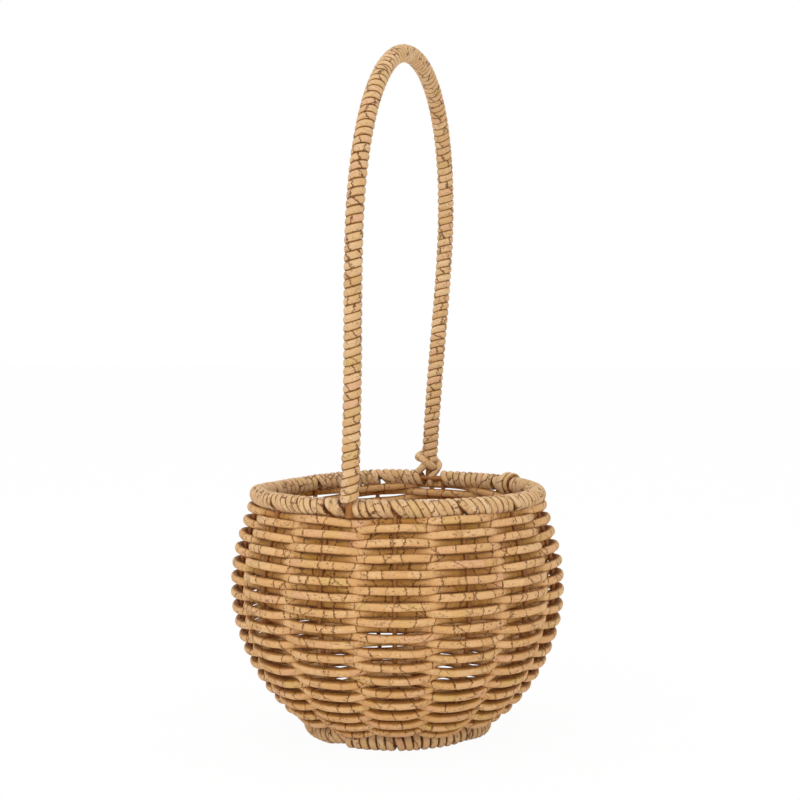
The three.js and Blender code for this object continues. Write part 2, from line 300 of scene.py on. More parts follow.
class Graph:
    """A node tree that is filled in through one method."""

    def __init__(self, tree: NodeTree) -> None:
        """Keeps the tree."""
        self.tree = tree

    def add(
        self,
        kind: str,
        settings: Mapping[str, Any] | None = None,
        sockets: Mapping[str | int, Any] | None = None,
        output: str | int = 0,
    ) -> Value:
        """Adds a node.

        Args:
            kind: Blender's name for the type of node.
            settings: The node's own properties, set first. "stops" are a ramp's places and colours.
            sockets: Values or links of its inputs, by name or number.
            output: Name or number of the output that is wanted.

        Returns:
            That output.
        """
        node = self.tree.nodes.new(kind)
        for name, setting in (settings or {}).items():
            if name == "stops":
                self._set_stops(node.color_ramp, setting)
            else:
                setattr(node, name, setting)
        for key, value in (sockets or {}).items():
            self.feed(node.inputs[key], value)
        return Value(self, node.outputs[output])

    def feed(self, socket: NodeSocket, value: Any) -> None:
        """Links a value to an input, or sets the input.

        Args:
            socket: The input.
            value: A Value, a number, several numbers, or a web colour for a colour's input.
        """
        if isinstance(value, Value):
            self.tree.links.new(value.socket, socket)
        elif socket.type == "RGBA" and isinstance(value, str):
            socket.default_value = linear_colour(value)
        elif socket.type == "VECTOR" and not is_vector(value):
            socket.default_value = (value, value, value)
        else:
            socket.default_value = value

    @staticmethod
    def _set_stops(ramp: ColorRamp, stops: Sequence[tuple[float, str]]) -> None:
        """Puts stops on a new ramp, which has two.

        Args:
            ramp: The ramp.
            stops: Places from 0 to 1 with web colours.
        """
        for place, _ in stops[2:]:
            ramp.elements.new(place)
        for element, (place, code) in zip(ramp.elements, stops, strict=True):
            element.position = place
            element.color = linear_colour(code)

    def maths(self, operation: str, *operands: Any) -> Value:
        """A Math node's output."""
        return self.add("ShaderNodeMath", {"operation": operation}, dict(enumerate(operands)))

    def vector_maths(self, operation: str, *operands: Any, output: str | int = 0) -> Value:
        """A Vector Math node's output."""
        settings = {"operation": operation}
        return self.add("ShaderNodeVectorMath", settings, dict(enumerate(operands)), output)

    def vector(self, x: Any, y: Any, z: Any) -> Value:
        """A vector of three numbers or values."""
        return self.add("ShaderNodeCombineXYZ", {}, {"X": x, "Y": y, "Z": z})

    def noise(self, place: Value, scale: float, detail: float = 2.0, roughness: float = 0.5) -> Value:
        """Smooth noise from about -0.5 to 0.5.

        Args:
            place: Where it is read.
            scale: How many waves there are in a unit of place.
            detail: How many finer layers it has.
            roughness: How strong those are.

        Returns:
            The noise.
        """
        sockets = {"Vector": place, "Scale": scale, "Detail": detail, "Roughness": roughness}
        return self.add("ShaderNodeTexNoise", {"noise_dimensions": "3D"}, sockets, 0) - 0.5

    def chance(self, number: Value, salt: float) -> Value:
        """A random number from 0 to 1 that belongs to a whole number.

        Args:
            number: The whole number.
            salt: Tells apart several random numbers of the same whole number.

        Returns:
            The random number.
        """
        settings = {"noise_dimensions": "1D"}
        return self.add("ShaderNodeTexWhiteNoise", settings, {"W": number + salt}, "Value")

    def mix(self, share: Any, first: Any, second: Any, blend: str = "MIX") -> Value:
        """Blends two colours.

        Args:
            share: How much of the second one there is, from 0 to 1.
            first: First colour.
            second: Second colour.
            blend: Blender's name for the way to blend them.

        Returns:
            The blended colour.
        """
        settings = {"data_type": "RGBA", "blend_type": blend, "clamp_factor": True}
        return self.add("ShaderNodeMix", settings, {0: share, 6: first, 7: second}, 2)


class Recipe:
    """A Geometry Nodes tree with named inputs, used for every piece of its kind."""

    def __init__(self, name: str, inputs: Mapping[str, Kind]) -> None:
        """Starts the tree.

        Args:
            name: What it makes.
            inputs: Names and kinds of its inputs, next to the path and the finish that all trees take.
        """
        self.tree = bpy.data.node_groups.new(name, "GeometryNodeTree")
        self.tree.interface.new_socket("Piece", in_out="OUTPUT", socket_type=Kind.PATH.value)
        every = {"Path": Kind.PATH, **inputs, "Finish": Kind.FINISH}
        for socket_name, kind in every.items():
            self.tree.interface.new_socket(socket_name, in_out="INPUT", socket_type=kind.value)
        self.graph = Graph(self.tree)
        self.source = self.tree.nodes.new("NodeGroupInput")

    def given(self, name: str) -> Value:
        """The input of that name."""
        return Value(self.graph, self.source.outputs[name])

    def end(self, geometry: Value) -> None:
        """Ends the tree with plain, smooth and dressed geometry.

        Args:
            geometry: What the tree has made.
        """
        real = self.graph.add("GeometryNodeRealizeInstances", {}, {"Geometry": geometry})
        smooth = self.graph.add("GeometryNodeSetShadeSmooth", {}, {"Geometry": real})
        sockets = {"Geometry": smooth, "Material": self.given("Finish")}
        dressed = self.graph.add("GeometryNodeSetMaterial", {}, sockets)
        sink = self.tree.nodes.new("NodeGroupOutput")
        self.graph.feed(sink.inputs["Piece"], dressed)

    def stored(self, geometry: Value, name: str, value: Any, data_type: str = "FLOAT") -> Value:
        """Stores a value on every point.

        Args:
            geometry: A curve or a mesh.
            name: The attribute's name.
            value: What is stored.
            data_type: Blender's name for the kind of number.

        Returns:
            The geometry with the attribute.
        """
        settings = {"data_type": data_type, "domain": "POINT"}
        sockets = {"Geometry": geometry, "Name": name, "Value": value}
        return self.graph.add("GeometryNodeStoreNamedAttribute", settings, sockets)

    def named(self, name: str, data_type: str = "FLOAT") -> Value:
        """Reads an attribute of the points."""
        return self.graph.add("GeometryNodeInputNamedAttribute", {"data_type": data_type}, {"Name": name})

    def path_curve(self) -> Value:
        """The path as a curve."""
        return self.graph.add("GeometryNodeMeshToCurve", {}, {"Mesh": self.given("Path")})

    def row_of_points(self, count: Value) -> Value:
        """A curve of so many points, which are moved into place afterwards.

        Args:
            count: The number of points.

        Returns:
            The curve.
        """
        line = self.graph.add("GeometryNodeCurvePrimitiveLine", {"mode": "POINTS"}, {"End": UP})
        sockets = {"Curve": line, "Count": count}
        return self.graph.add("GeometryNodeResampleCurve", {"mode": "COUNT"}, sockets)

    def sampled(self, curve: Value, distance: Value, value: Any = 0.0) -> Value:
        """Reads a curve at a distance along it.

        Args:
            curve: The curve.
            distance: How far along it.
            value: A number on its points that is read too.

        Returns:
            The number there; its siblings are Position and Tangent.
        """
        settings = {"mode": "LENGTH", "data_type": "FLOAT"}
        sockets = {"Curves": curve, "Value": value, "Length": distance}
        return self.graph.add("GeometryNodeSampleCurve", settings, sockets, "Value")

    def moved(self, geometry: Value, position: Value) -> Value:
        """Moves every point to a position."""
        return self.graph.add("GeometryNodeSetPosition", {}, {"Geometry": geometry, "Position": position})

    def section(self) -> Value:
        """The closed outline of a cord or wire, with its width and thickness and rounded shoulders.

        Returns:
            The outline, whose points know where on it they are.
        """
        graph = self.graph
        sockets = {"Resolution": self.given("Sides"), "Radius": 1.0}
        ring = graph.add("GeometryNodeCurvePrimitiveCircle", {"mode": "RADIUS"}, sockets)
        place = graph.add("GeometryNodeInputPosition")
        fullness = self.given("Fullness")
        across = place.x.sign() * place.x.size() ** fullness * self.given("Thickness") * 0.5
        beside = place.y.sign() * place.y.size() ** fullness * self.given("Width") * 0.5
        outline = self.moved(ring, graph.vector(across, beside, 0.0))
        return self.stored(outline, AROUND, place, "FLOAT_VECTOR")

    def swept(self, curve: Value, outward: Value, girth: Any = 1.0, proud: Any = 0.0) -> Value:
        """Sweeps the section along a curve and marks every point with its place on the straight cord.

        Args:
            curve: The cord's middle line.
            outward: The direction that the section's thickness takes.
            girth: The section's size along the way, as a share.
            proud: 1 where the cord lies on the outside, -1 where it lies on the inside, 0 where neither.

        Returns:
            The swept mesh, which has the attributes that the finishes read.
        """
        graph = self.graph
        tangent = graph.add("GeometryNodeInputTangent")
        square = (outward - tangent * tangent.dot(outward)).unit()
        sockets = {"Curve": curve, "Normal": square}
        turned = graph.add("GeometryNodeSetCurveNormal", {"mode": "FREE"}, sockets)
        length = graph.add("GeometryNodeSplineParameter", {}, {}, "Length")
        marked = self.stored(turned, RUN, length + self.given("Run start"))
        marked = self.stored(marked, PROUD, proud)
        sockets = {"Curve": marked, "Profile Curve": self.section(), "Scale": girth, "Fill Caps": True}
        tube = graph.add("GeometryNodeCurveToMesh", {}, sockets)
        around = self.named(AROUND, "FLOAT_VECTOR")
        place = graph.vector(around.x, around.y, self.named(RUN))
        placed_tube = self.stored(tube, CORD_PLACE, place, "FLOAT_VECTOR")
        tucked = self.named(PROUD) * around.x / self.given("Thickness") * -2.0
        return self.stored(placed_tube, TUCKED, tucked.at_least(0.0))

    def roughened(self, mesh: Value) -> Value:
        """Lets the cord swell and shrink a little along its way, by an amount that the tree is given.

        Args:
            mesh: The swept mesh.

        Returns:
            The mesh with its points moved.
        """
        graph = self.graph
        place = self.named(CORD_PLACE, "FLOAT_VECTOR")
        normal = graph.add("GeometryNodeInputNormal")
        swell = graph.noise(place, SWELL_WAVES) * self.given("Swell") * 2.0
        position = graph.add("GeometryNodeInputPosition")
        return self.moved(mesh, position + normal * swell)

    def make(self, base: Object, finish: Material, sizes: Mapping[str, Any]) -> Object:
        """Runs the tree on a path and keeps the result as a plain mesh.

        Args:
            base: An object whose mesh is the path, and which becomes the piece.
            finish: The piece's material.
            sizes: The tree's inputs by name.

        Returns:
            The piece.
        """
        modifier = base.modifiers.new(self.tree.name, "NODES")
        modifier.node_group = self.tree
        identifiers = {
            item.name: item.identifier
            for item in self.tree.interface.items_tree
            if item.item_type == "SOCKET" and item.in_out == "INPUT"
        }
        for name, size in {**sizes, "Finish": finish}.items():
            modifier[identifiers[name]] = size
        depsgraph = bpy.context.evaluated_depsgraph_get()
        mesh = bpy.data.meshes.new_from_object(
            base.evaluated_get(depsgraph), preserve_all_data_layers=True, depsgraph=depsgraph
        )
        base.modifiers.clear()
        base.data = mesh
        self._face_outwards(mesh)
        return base

    @staticmethod
    def _face_outwards(mesh: Mesh) -> None:
        """Turns every face of a closed mesh outwards.

        Args:
            mesh: The mesh.
        """
        work = bmesh.new()
        work.from_mesh(mesh)
        bmesh.ops.recalc_face_normals(work, faces=work.faces)
        work.to_mesh(mesh)
        work.free()


def added(name: str, data: ID) -> Object:
    """Adds an object with that data to the scene.

    Args:
        name: Its name.
        data: Its mesh, lamp or camera.

    Returns:
        The object.
    """
    thing = bpy.data.objects.new(name, data)
    bpy.context.scene.collection.objects.link(thing)
    return thing


def path_object(
    name: str,
    *lines: Sequence[Vector],
    closed: bool = False,
    values: Mapping[str, Sequence[float]] | None = None,
) -> Object:
    """Makes an object whose mesh is lines of edges.

    Args:
        name: The object's name.
        *lines: The points of each line.
        closed: Whether each line's last point joins its first.
        values: Numbers on all the points, by attribute name.

    Returns:
        The object.
    """
    mesh = bpy.data.meshes.new(name)
    points: list[tuple[float, ...]] = []
    edges: list[tuple[int, int]] = []
    for line in lines:
        first = len(points)
        points += [tuple(point) for point in line]
        edges += [(i, i + 1) for i in range(first, len(points) - 1)]
        if closed:
            edges.append((len(points) - 1, first))
    mesh.from_pydata(points, edges, [])
    for value_name, numbers in (values or {}).items():
        attribute = mesh.attributes.new(value_name, "FLOAT", "POINT")
        attribute.data.foreach_set("value", list(numbers))
    return added(name, mesh)


def placed(piece: Object, nodes: Sequence[str]) -> Object:
    """Puts a finished piece on the frame.

    Args:
        piece: The piece.
        nodes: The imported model's nodes that it stands for.

    Returns:
        The piece.
    """
    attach(piece, BODY)
    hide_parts(*nodes)
    return piece


def bezier(corners: Sequence[Vector], steps: int) -> list[Vector]:
    """Points along a cubic Bezier curve.

    Args:
        corners: Its start, two handles and end.
        steps: How many steps there are from end to end.

    Returns:
        One point more than there are steps.
    """
    start, first, second, end = corners
    points = []
    for i in range(steps + 1):
        t = i / steps
        u = 1 - t
        points.append(start * u**3 + first * 3 * u * u * t + second * 3 * u * t * t + end * t**3)
    return points


def catmull(corners: Sequence[Vector], steps: int) -> list[Vector]:
    """Points along a smooth line through corners.

    Args:
        corners: The corners.
        steps: How many steps there are from one corner to the next.

    Returns:
        All the points, with the first and the last corner among them.
    """
    ends = [corners[0] * 2 - corners[1], *corners, corners[-1] * 2 - corners[-2]]
    points = [corners[0].copy()]
    for before, start, end, after in zip(ends, ends[1:], ends[2:], ends[3:]):
        pull_out = start + (end - before) / 6
        pull_in = end - (after - start) / 6
        points += bezier((start, pull_out, pull_in, end), steps)[1:]
    return points


def line_length(points: Sequence[Vector]) -> float:
    """Length of a line of points."""
    return sum((b - a).length for a, b in zip(points, points[1:]))


def angle_of(point: Vector) -> float:
    """Angle of a point round the basket, from zero to a full turn."""
    return math.atan2(point.y, point.x) % TAU


def smooth(share: float) -> float:
    """Eases a share from 0 to 1 at both ends."""
    return share * share * (3 - 2 * share)


def eased(stops: Sequence[tuple[float, float]], angle: float) -> float:
    """Reads a smooth profile that goes round the basket.

    Args:
        stops: Angles in degrees, in rising order, each with its value in millimetres.
        angle: Where it is read, in radians.

    Returns:
        The value in metres, which holds still before the first stop and after the last.
    """
    place = math.degrees(angle)
    if place <= stops[0][0]:
        return stops[0][1] * MM
    for (low, first), (high, second) in zip(stops, stops[1:]):
        if place <= high:
            return (first + (second - first) * smooth((place - low) / (high - low))) * MM
    return stops[-1][1] * MM


def input_name(size_name: str) -> str:
    """A tree input's name for a size's name, such as Low reach for low_reach."""
    return size_name.replace("_", " ").capitalize()


class Sizes:
    """Sizes that a tree takes as inputs, each under its field's name."""

    def inputs(self) -> dict[str, float]:
        """The sizes by the names of their inputs."""
        return {input_name(field.name): getattr(self, field.name) for field in fields(self)}

    @classmethod
    def kinds(cls) -> dict[str, Kind]:
        """The kinds of their inputs, which the types of the fields tell."""
        kinds = {"int": Kind.COUNT, "float": Kind.NUMBER}
        return {input_name(field.name): kinds[field.type] for field in fields(cls)}


@dataclass(frozen=True)
class Section(Sizes):
    """The section of a wire or cord, its swelling, and where its marks start on the straight cord."""

    thickness: float
    width: float
    fullness: float = 1.0
    sides: int = 14
    run_start: float = 0.0
    swell: float = 0.1 * MM


@dataclass(frozen=True)
class RibRule(Sizes):
    """Where the ribs stand: evenly round the basket, but for a drift that is largest at one of them."""

    ribs: int = 13
    rib_turn: float = math.radians(-1.3)
    rib_drift: float = math.radians(4.3)
    drift_peak: float = 5.0

    def angle(self, number: float) -> float:
        """The angle of a rib, or of a place between ribs where the number isn't whole.

        Args:
            number: The number of the rib, from 0.

        Returns:
            The angle in radians.
        """
        share = number / self.ribs
        drift = self.rib_drift * math.cos(TAU * (share - self.drift_peak / self.ribs))
        return TAU * share + self.rib_turn + drift


@dataclass(frozen=True)
class Weave(Sizes):
    """How a cord goes over and under the ribs, row by row up the wall."""

    crossings: float
    first_crossing: float = 1.0
    steps_in_a_crossing: int = 30
    start_rib: float = 6.0
    first_row: float = 5.3 * MM
    row_pitch: float = 3.52 * MM
    lowest: float = 4.8 * MM
    highest: float = 121.5 * MM
    reach: float = 2.95 * MM
    bulge: float = 0.35 * MM
    low_reach: float = 0.75
    low_height: float = 48 * MM
    low_girth: float = 0.1
    high_reach: float = 0.82
    high_height: float = 108 * MM
    tightness: float = 1.2
    squeeze: float = 0.03
    wander: float = 0.52 * MM


@dataclass(frozen=True)
class Winding(Sizes):
    """How a cord is wound round a wire."""

    turns: float
    start: float
    pitch: float
    radius: float
    steps_in_a_turn: int = 30
    tail: float = 0.25
    rib_push: float = 1.8 * MM
    wander: float = 0.6 * MM
    floor: float = -1.0


@dataclass(frozen=True)
class BasketFrame:
    """The iron frame's lines, which every wire and cord of the basket follows."""

    rule: RibRule = RibRule()
    rib_wire: float = 2.3 * MM
    hoop_wire: float = 2.8 * MM
    handle_wire: float = 3.5 * MM
    rim_radius: float = 69.6 * MM
    rim_height: float = 119 * MM
    belly_radius: float = 78.2 * MM
    belly_height: float = 72.9 * MM
    foot_radius: float = 42.8 * MM
    foot_height: float = 3.65 * MM
    floor_height: float = 8.457 * MM
    hub_radius: float = 12 * MM
    foot_pull_out: float = 13.3 * MM
    foot_pull_up: float = 3 * MM
    belly_pull_down: float = 29.4 * MM
    belly_pull_up: float = 24 * MM
    rim_pull_out: float = 1 * MM
    rim_pull_down: float = 16 * MM
    handle_top: float = 335.8 * MM
    handle_half_span: float = 82 * MM
    shoulder_height: float = 248 * MM
    leg_pull_up: float = 71 * MM
    leg_pull_down: float = 34 * MM
    leg_spread: float = 0.6 * MM
    shoulder_pull: float = 54 * MM
    crown_pull: float = 46 * MM
    handle_lean: float = math.radians(2.4)
    handle_aside: float = 2.2 * MM
    leg_bend: float = 1.3 * MM
    bend_reach: float = 125 * MM
    foot_x: float = 73.05 * MM
    foot_drop: float = 4.2 * MM
    curve_steps: int = 120
    arc_steps: int = 480

    def wall_line(self) -> list[Vector]:
        """The wall's meridian in the XZ plane, from the foot ring to the rim.

        Returns:
            The meridian's points.
        """
        foot = Vector((self.foot_radius, 0, self.floor_height))
        belly = Vector((self.belly_radius, 0, self.belly_height))
        rim = Vector((self.rim_radius, 0, self.rim_height))
        low = (
            foot,
            foot + Vector((self.foot_pull_out, 0, self.foot_pull_up)),
            belly - Vector((0, 0, self.belly_pull_down)),
            belly,
        )
        high = (
            belly,
            belly + Vector((0, 0, self.belly_pull_up)),
            rim + Vector((self.rim_pull_out, 0, -self.rim_pull_down)),
            rim,
        )
        return bezier(low, self.curve_steps) + bezier(high, self.curve_steps)[1:]

    def rib_aside(self, angle: float) -> float:
        """How far a place on the rim is past the nearest rib, along the hoop."""
        turns = [(angle - self.rule.angle(n) + math.pi) % TAU - math.pi for n in range(self.rule.ribs)]
        return min(turns, key=abs) * self.rim_radius

    def arch(self) -> list[Vector]:
        """The handle's line from the end of its front foot to the end of its back foot.

        Returns:
            The line's points.
        """
        top = [self._leg(-1), self._crown(-1), self._crown(1)[::-1], self._leg(1)[::-1]]
        points = [Vector((-self.foot_x, 0, self.rim_height - self.foot_drop))]
        for stretch in top:
            points += stretch if len(points) == 1 else stretch[1:]
        points.append(Vector((self.foot_x, 0, self.rim_height - self.foot_drop)))
        return [self.leaned(point) for point in points]

    def _leg(self, sign: int) -> list[Vector]:
        """One leg from the rim up to the shoulder.

        Args:
            sign: -1 for the front leg, 1 for the back leg.

        Returns:
            The upright leg's points.
        """
        corners = (
            Vector((sign * self.foot_x, 0, self.rim_height)),
            Vector((sign * (self.foot_x + self.leg_spread), 0, self.rim_height + self.leg_pull_up)),
            Vector((sign * self.handle_half_span, 0, self.shoulder_height - self.leg_pull_down)),
            Vector((sign * self.handle_half_span, 0, self.shoulder_height)),
        )
        return bezier(corners, self.curve_steps)

    def _crown(self, sign: int) -> list[Vector]:
        """Half of the top, from the shoulder to the middle.

        Args:
            sign: -1 for the front half, 1 for the back half.

        Returns:
            The upright half's points.
        """
        corners = (
            Vector((sign * self.handle_half_span, 0, self.shoulder_height)),
            Vector((sign * self.handle_half_span, 0, self.shoulder_height + self.shoulder_pull)),
            Vector((sign * self.crown_pull, 0, self.handle_top)),
            Vector((0, 0, self.handle_top)),
        )
        return bezier(corners, self.curve_steps)

    def leaned(self, point: Vector) -> Vector:
        """A point of the upright arch where the leaning handle, whose back leg is a little bent, has it.

        Args:
            point: The point on the upright arch.

        Returns:
            The point on the real handle.
        """
        flat = point - Vector((0, 0, self.rim_height))
        turn = Matrix.Rotation(self.handle_lean, 3, "X")
        share = min(max(1 - flat.z / self.bend_reach, 0), 1) if point.x > 0 else 0
        aside = self.handle_aside + self.leg_bend * smooth(share)
        return turn @ flat + Vector((0, aside, self.rim_height))

    def handle_level(self) -> tuple[float, float, float]:
        """The direction square to the plane of the leaning arch."""
        return (0.0, math.cos(self.handle_lean), math.sin(self.handle_lean))

    def arc(self, radius: float, height: float, start: float, stop: float) -> list[Vector]:
        """Points on a level circle, counterclockwise from one angle to another.

        Args:
            radius: The circle's radius.
            height: Its height above the floor.
            start: The first angle in radians.
            stop: The last angle.

        Returns:
            The points.
        """
        steps = self.arc_steps
        angles = [start + (stop - start) * i / steps for i in range(steps + 1)]
        return [Vector((radius * math.cos(a), radius * math.sin(a), height)) for a in angles]

    def rim_arc(self, start: float, stop: float) -> list[Vector]:
        """Points on the rim hoop's line, which isn't quite level, counterclockwise between two angles.

        Args:
            start: The first angle in radians.
            stop: The last angle.

        Returns:
            The points.
        """
        points = self.arc(self.rim_radius, self.rim_height, start, stop)
        for point in points:
            point.z += eased(RIM_RISES, angle_of(point))
        return points


def rib_angle_nodes(recipe: Recipe, number: Value) -> Value:
    """The rule of RibRule.angle, as nodes.

    Args:
        recipe: The tree, whose inputs tell where the ribs are.
        number: A rib's number, or a place between two.

    Returns:
        The angle.
    """
    share = number / recipe.given("Ribs")
    peak = recipe.given("Drift peak") / recipe.given("Ribs")
    drift = recipe.given("Rib drift") * ((share - peak) * TAU).cosine()
    return share * TAU + recipe.given("Rib turn") + drift


def swept_recipe() -> Recipe:
    """A wire or cord along a path, whose thickness stands square to the direction named Level.

    Returns:
        The tree.
    """
    recipe = Recipe("swept along a path", {"Level": Kind.DIRECTION, **Section.kinds()})
    tangent = recipe.graph.add("GeometryNodeInputTangent")
    girth = 1.0 + recipe.named(THICKER)
    body = recipe.swept(recipe.path_curve(), tangent.cross(recipe.given("Level")), girth)
    recipe.end(recipe.roughened(body))
    return recipe


def ribs_recipe() -> Recipe:
    """One wire along a meridian in the XZ plane, repeated at the angle of every rib.

    Returns:
        The tree.
    """
    recipe = Recipe("ribs", {"Level": Kind.DIRECTION, **Section.kinds(), **RibRule.kinds()})
    graph = recipe.graph
    tangent = graph.add("GeometryNodeInputTangent")
    rib = recipe.roughened(recipe.swept(recipe.path_curve(), tangent.cross(recipe.given("Level"))))
    sockets = {"Count": recipe.given("Ribs"), "Offset": 0.0}
    points = graph.add("GeometryNodeMeshLine", {"mode": "OFFSET"}, sockets)
    angle = rib_angle_nodes(recipe, graph.add("GeometryNodeInputIndex"))
    sockets = {"Points": points, "Instance": rib, "Rotation": graph.vector(0.0, 0.0, angle)}
    recipe.end(graph.add("GeometryNodeInstanceOnPoints", {}, sockets))
    return recipe


@dataclass(frozen=True)
class Lift:
    """A place where the rows of the wall sit higher or lower than their even spacing."""

    angle: float
    spread: float
    amount: float
    low: float
    high: float

    def nodes(self, angle: Value, level: Value) -> Value:
        """How far the rows are lifted.

        Args:
            angle: Where round the wall.
            level: How far up the wall, for even rows.

        Returns:
            The lift.
        """
        near = ((angle - self.angle).cosine() - 1.0) / (self.spread * self.spread)
        return (near * 2.0).exponent() * level.ramp(self.low, self.high) * self.amount


def woven_recipe(lifts: Sequence[Lift]) -> Recipe:
    """One cord woven round and round a wall, outside even crossings and inside odd ones.

    Args:
        lifts: The places where the rows sit higher or lower.

    Returns:
        The tree.
    """
    recipe = Recipe("woven cord", {**Weave.kinds(), **Section.kinds(), **RibRule.kinds()})
    graph = recipe.graph
    steps = recipe.given("Steps in a crossing")
    line = recipe.row_of_points(recipe.given("Crossings") * steps + 1)
    crossing = recipe.given("First crossing") + graph.add("GeometryNodeInputIndex") / steps
    angle = rib_angle_nodes(recipe, crossing + recipe.given("Start rib"))
    level = recipe.given("First row") + recipe.given("Row pitch") * crossing / recipe.given("Ribs")
    radial = graph.vector(angle.cosine(), angle.sine(), 0.0)
    wander = graph.noise(radial * WANDER_AROUND + graph.vector(0.0, 0.0, level * WANDER_UP), 1.0, 1.0)
    height = level + wander * recipe.given("Wander") * 2.0
    for lift in lifts:
        height = height + lift.nodes(angle, level)
    height = height.at_least(recipe.given("Lowest")).at_most(recipe.given("Highest"))
    meridian = recipe.sampled(recipe.path_curve(), height)
    spot = meridian.sibling("Position")
    slope = meridian.sibling("Tangent")
    tightness = recipe.given("Tightness")
    wave = (tightness * (crossing * math.pi).cosine()).tanh() / tightness.tanh()
    lowness = level.ramp(recipe.given("Low height"), 0.0)
    low = (1.0 - recipe.given("Low reach")) * lowness
    highness = level.ramp(recipe.given("High height"), recipe.given("Highest"))
    high = (1.0 - recipe.given("High reach")) * highness
    reach = (recipe.given("Reach") * wave + recipe.given("Bulge")) * (1.0 - low - high)
    outward = radial * slope.z - graph.vector(0.0, 0.0, slope.x)
    middle = radial * spot.x + graph.vector(0.0, 0.0, spot.z) + outward * reach
    girth = 1.0 - recipe.given("Squeeze") * (1.0 - wave * wave) + recipe.given("Low girth") * lowness
    body = recipe.swept(recipe.moved(line, middle), outward, girth, wave)
    recipe.end(recipe.roughened(body))
    return recipe


def wound_recipe() -> Recipe:
    """One cord wound round a wire, its turns pushed aside where a rib comes up between them.

    Returns:
        The tree.
    """
    recipe = Recipe("wound cord", {"Level": Kind.DIRECTION, **Winding.kinds(), **Section.kinds()})
    graph = recipe.graph
    steps = recipe.given("Steps in a turn")
    turns = recipe.given("Turns")
    tail = recipe.given("Tail")
    line = recipe.row_of_points((turns + tail * 2.0) * steps + 1)
    turn = graph.add("GeometryNodeInputIndex") / steps - tail
    angle = turn * TAU
    pitch = recipe.given("Pitch")
    start = recipe.given("Start")
    path = recipe.path_curve()
    lowest = (turn + QUARTER).floor() + QUARTER
    aside = recipe.sampled(path, start + pitch * lowest, recipe.named(RIB_ASIDE))
    push = aside.sign() * (aside.size() / pitch * -PUSH_FADE).exponent() * recipe.given("Rib push")
    onward = start + pitch * turn.at_least(0.0).at_most(turns)
    lean = recipe.sampled(path, onward, recipe.named(LEAN)) * angle.sine()
    spot_in_turn = (turn * WOBBLE_ALONG, angle.cosine() * WOBBLE_AROUND, angle.sine() * WOBBLE_AROUND)
    wobble = graph.noise(graph.vector(*spot_in_turn), 1.0, 1.0) * recipe.given("Wander")
    along = onward + lean + push * angle.sine().ramp(PUSH_FROM, PUSH_FULL) + wobble
    spot = recipe.sampled(path, along)
    tangent = spot.sibling("Tangent")
    outward = tangent.cross(recipe.given("Level"))
    away = outward * angle.cosine() + tangent.cross(outward) * angle.sine()
    raised = recipe.sampled(path, onward, recipe.named(RAISED))
    middle = spot.sibling("Position") + away * (recipe.given("Radius") + raised)
    body = recipe.swept(recipe.moved(line, middle), away, 1.0, 1.0)
    rough = recipe.roughened(body)
    position = graph.add("GeometryNodeInputPosition")
    standing = graph.vector(position.x, position.y, position.z.at_least(recipe.given("Floor")))
    recipe.end(recipe.moved(rough, standing))
    return recipe


class Finish:
    """A procedural material in the making."""

    def __init__(self, name: str) -> None:
        """Starts an empty material with its output node.

        Args:
            name: The material's name.
        """
        self.material = bpy.data.materials.new(name)
        self.material.use_nodes = True
        self.material.node_tree.nodes.clear()
        self.graph = Graph(self.material.node_tree)
        self.sink = self.material.node_tree.nodes.new("ShaderNodeOutputMaterial")

    def end(self, surface: Value) -> Material:
        """Links the shader to the output."""
        self.graph.feed(self.sink.inputs["Surface"], surface)
        return self.material

    def end_bumpy(
        self, height: Value, strength: float, reach: float, sockets: Mapping[str, Any]
    ) -> Material:
        """Ends the material with one shader on a bumpy surface.

        Args:
            height: The bumps' height, as a share.
            strength: How strong the bumps are.
            reach: The height that a share of 1 stands for.
            sockets: The shader's colour, roughness and other sockets.

        Returns:
            The material.
        """
        levels = {"Strength": strength, "Distance": reach, "Height": height}
        bump = self.graph.add("ShaderNodeBump", {}, levels)
        return self.end(self.graph.add("ShaderNodeBsdfPrincipled", {}, {**sockets, "Normal": bump}))


@dataclass(frozen=True)
class Pattern:
    """Smooth noise on a surface: its waves in a millimetre, and the number and strength of its layers."""

    waves: float
    layers: float = 2.0
    roughness: float = 0.5
    stretch: tuple[float, float, float] = (1.0, 1.0, 1.0)

    def nodes(self, graph: Graph, place: Value) -> Value:
        """The noise from about -0.5 to 0.5, for a place in millimetres."""
        return graph.noise(place * self.stretch, self.waves, self.layers, self.roughness)


@dataclass(frozen=True)
class Fade:
    """A smooth step of a pattern, from where it starts to where it is full, and its strength there."""

    start: float
    full: float
    strength: float = 1.0

    def nodes(self, pattern: Value) -> Value:
        """The step's strength for the pattern's value."""
        return pattern.ramp(self.start, self.full) * self.strength


@dataclass(frozen=True)
class Cracks:
    """Dark cracks that run across a cord, one in each stretch of it, in millimetres."""

    spacing: float
    spread: float
    tilt: float
    waviness: float
    width: float
    edge: Fade
    presence: Fade
    salts: tuple[float, float, float, float]
    offset: float = 0.0

    def nodes(self, graph: Graph, place: Value, ripple: Value) -> tuple[Value, Value]:
        """Adds the cracks.

        Args:
            graph: The material's graph.
            place: Place on the straight cord, in millimetres.
            ripple: Small noise that makes a crack wavy.

        Returns:
            How strong a crack is, and the number of the segment between two cracks.
        """
        run = place.z + self.offset
        stretch = (run / self.spacing).floor()
        middle, tilt_x, tilt_y, strength = (graph.chance(stretch, salt) for salt in self.salts)
        spot = (stretch + (1.0 - self.spread) / 2 + middle * self.spread) * self.spacing
        slant = place.x * ((tilt_x - 0.5) * self.tilt) + place.y * ((tilt_y - 0.5) * self.tilt)
        past = run - spot + slant + ripple * self.waviness
        crack = self.edge.nodes(past.size() / self.width) * self.presence.nodes(strength)
        return crack, stretch + (past > 0.0)


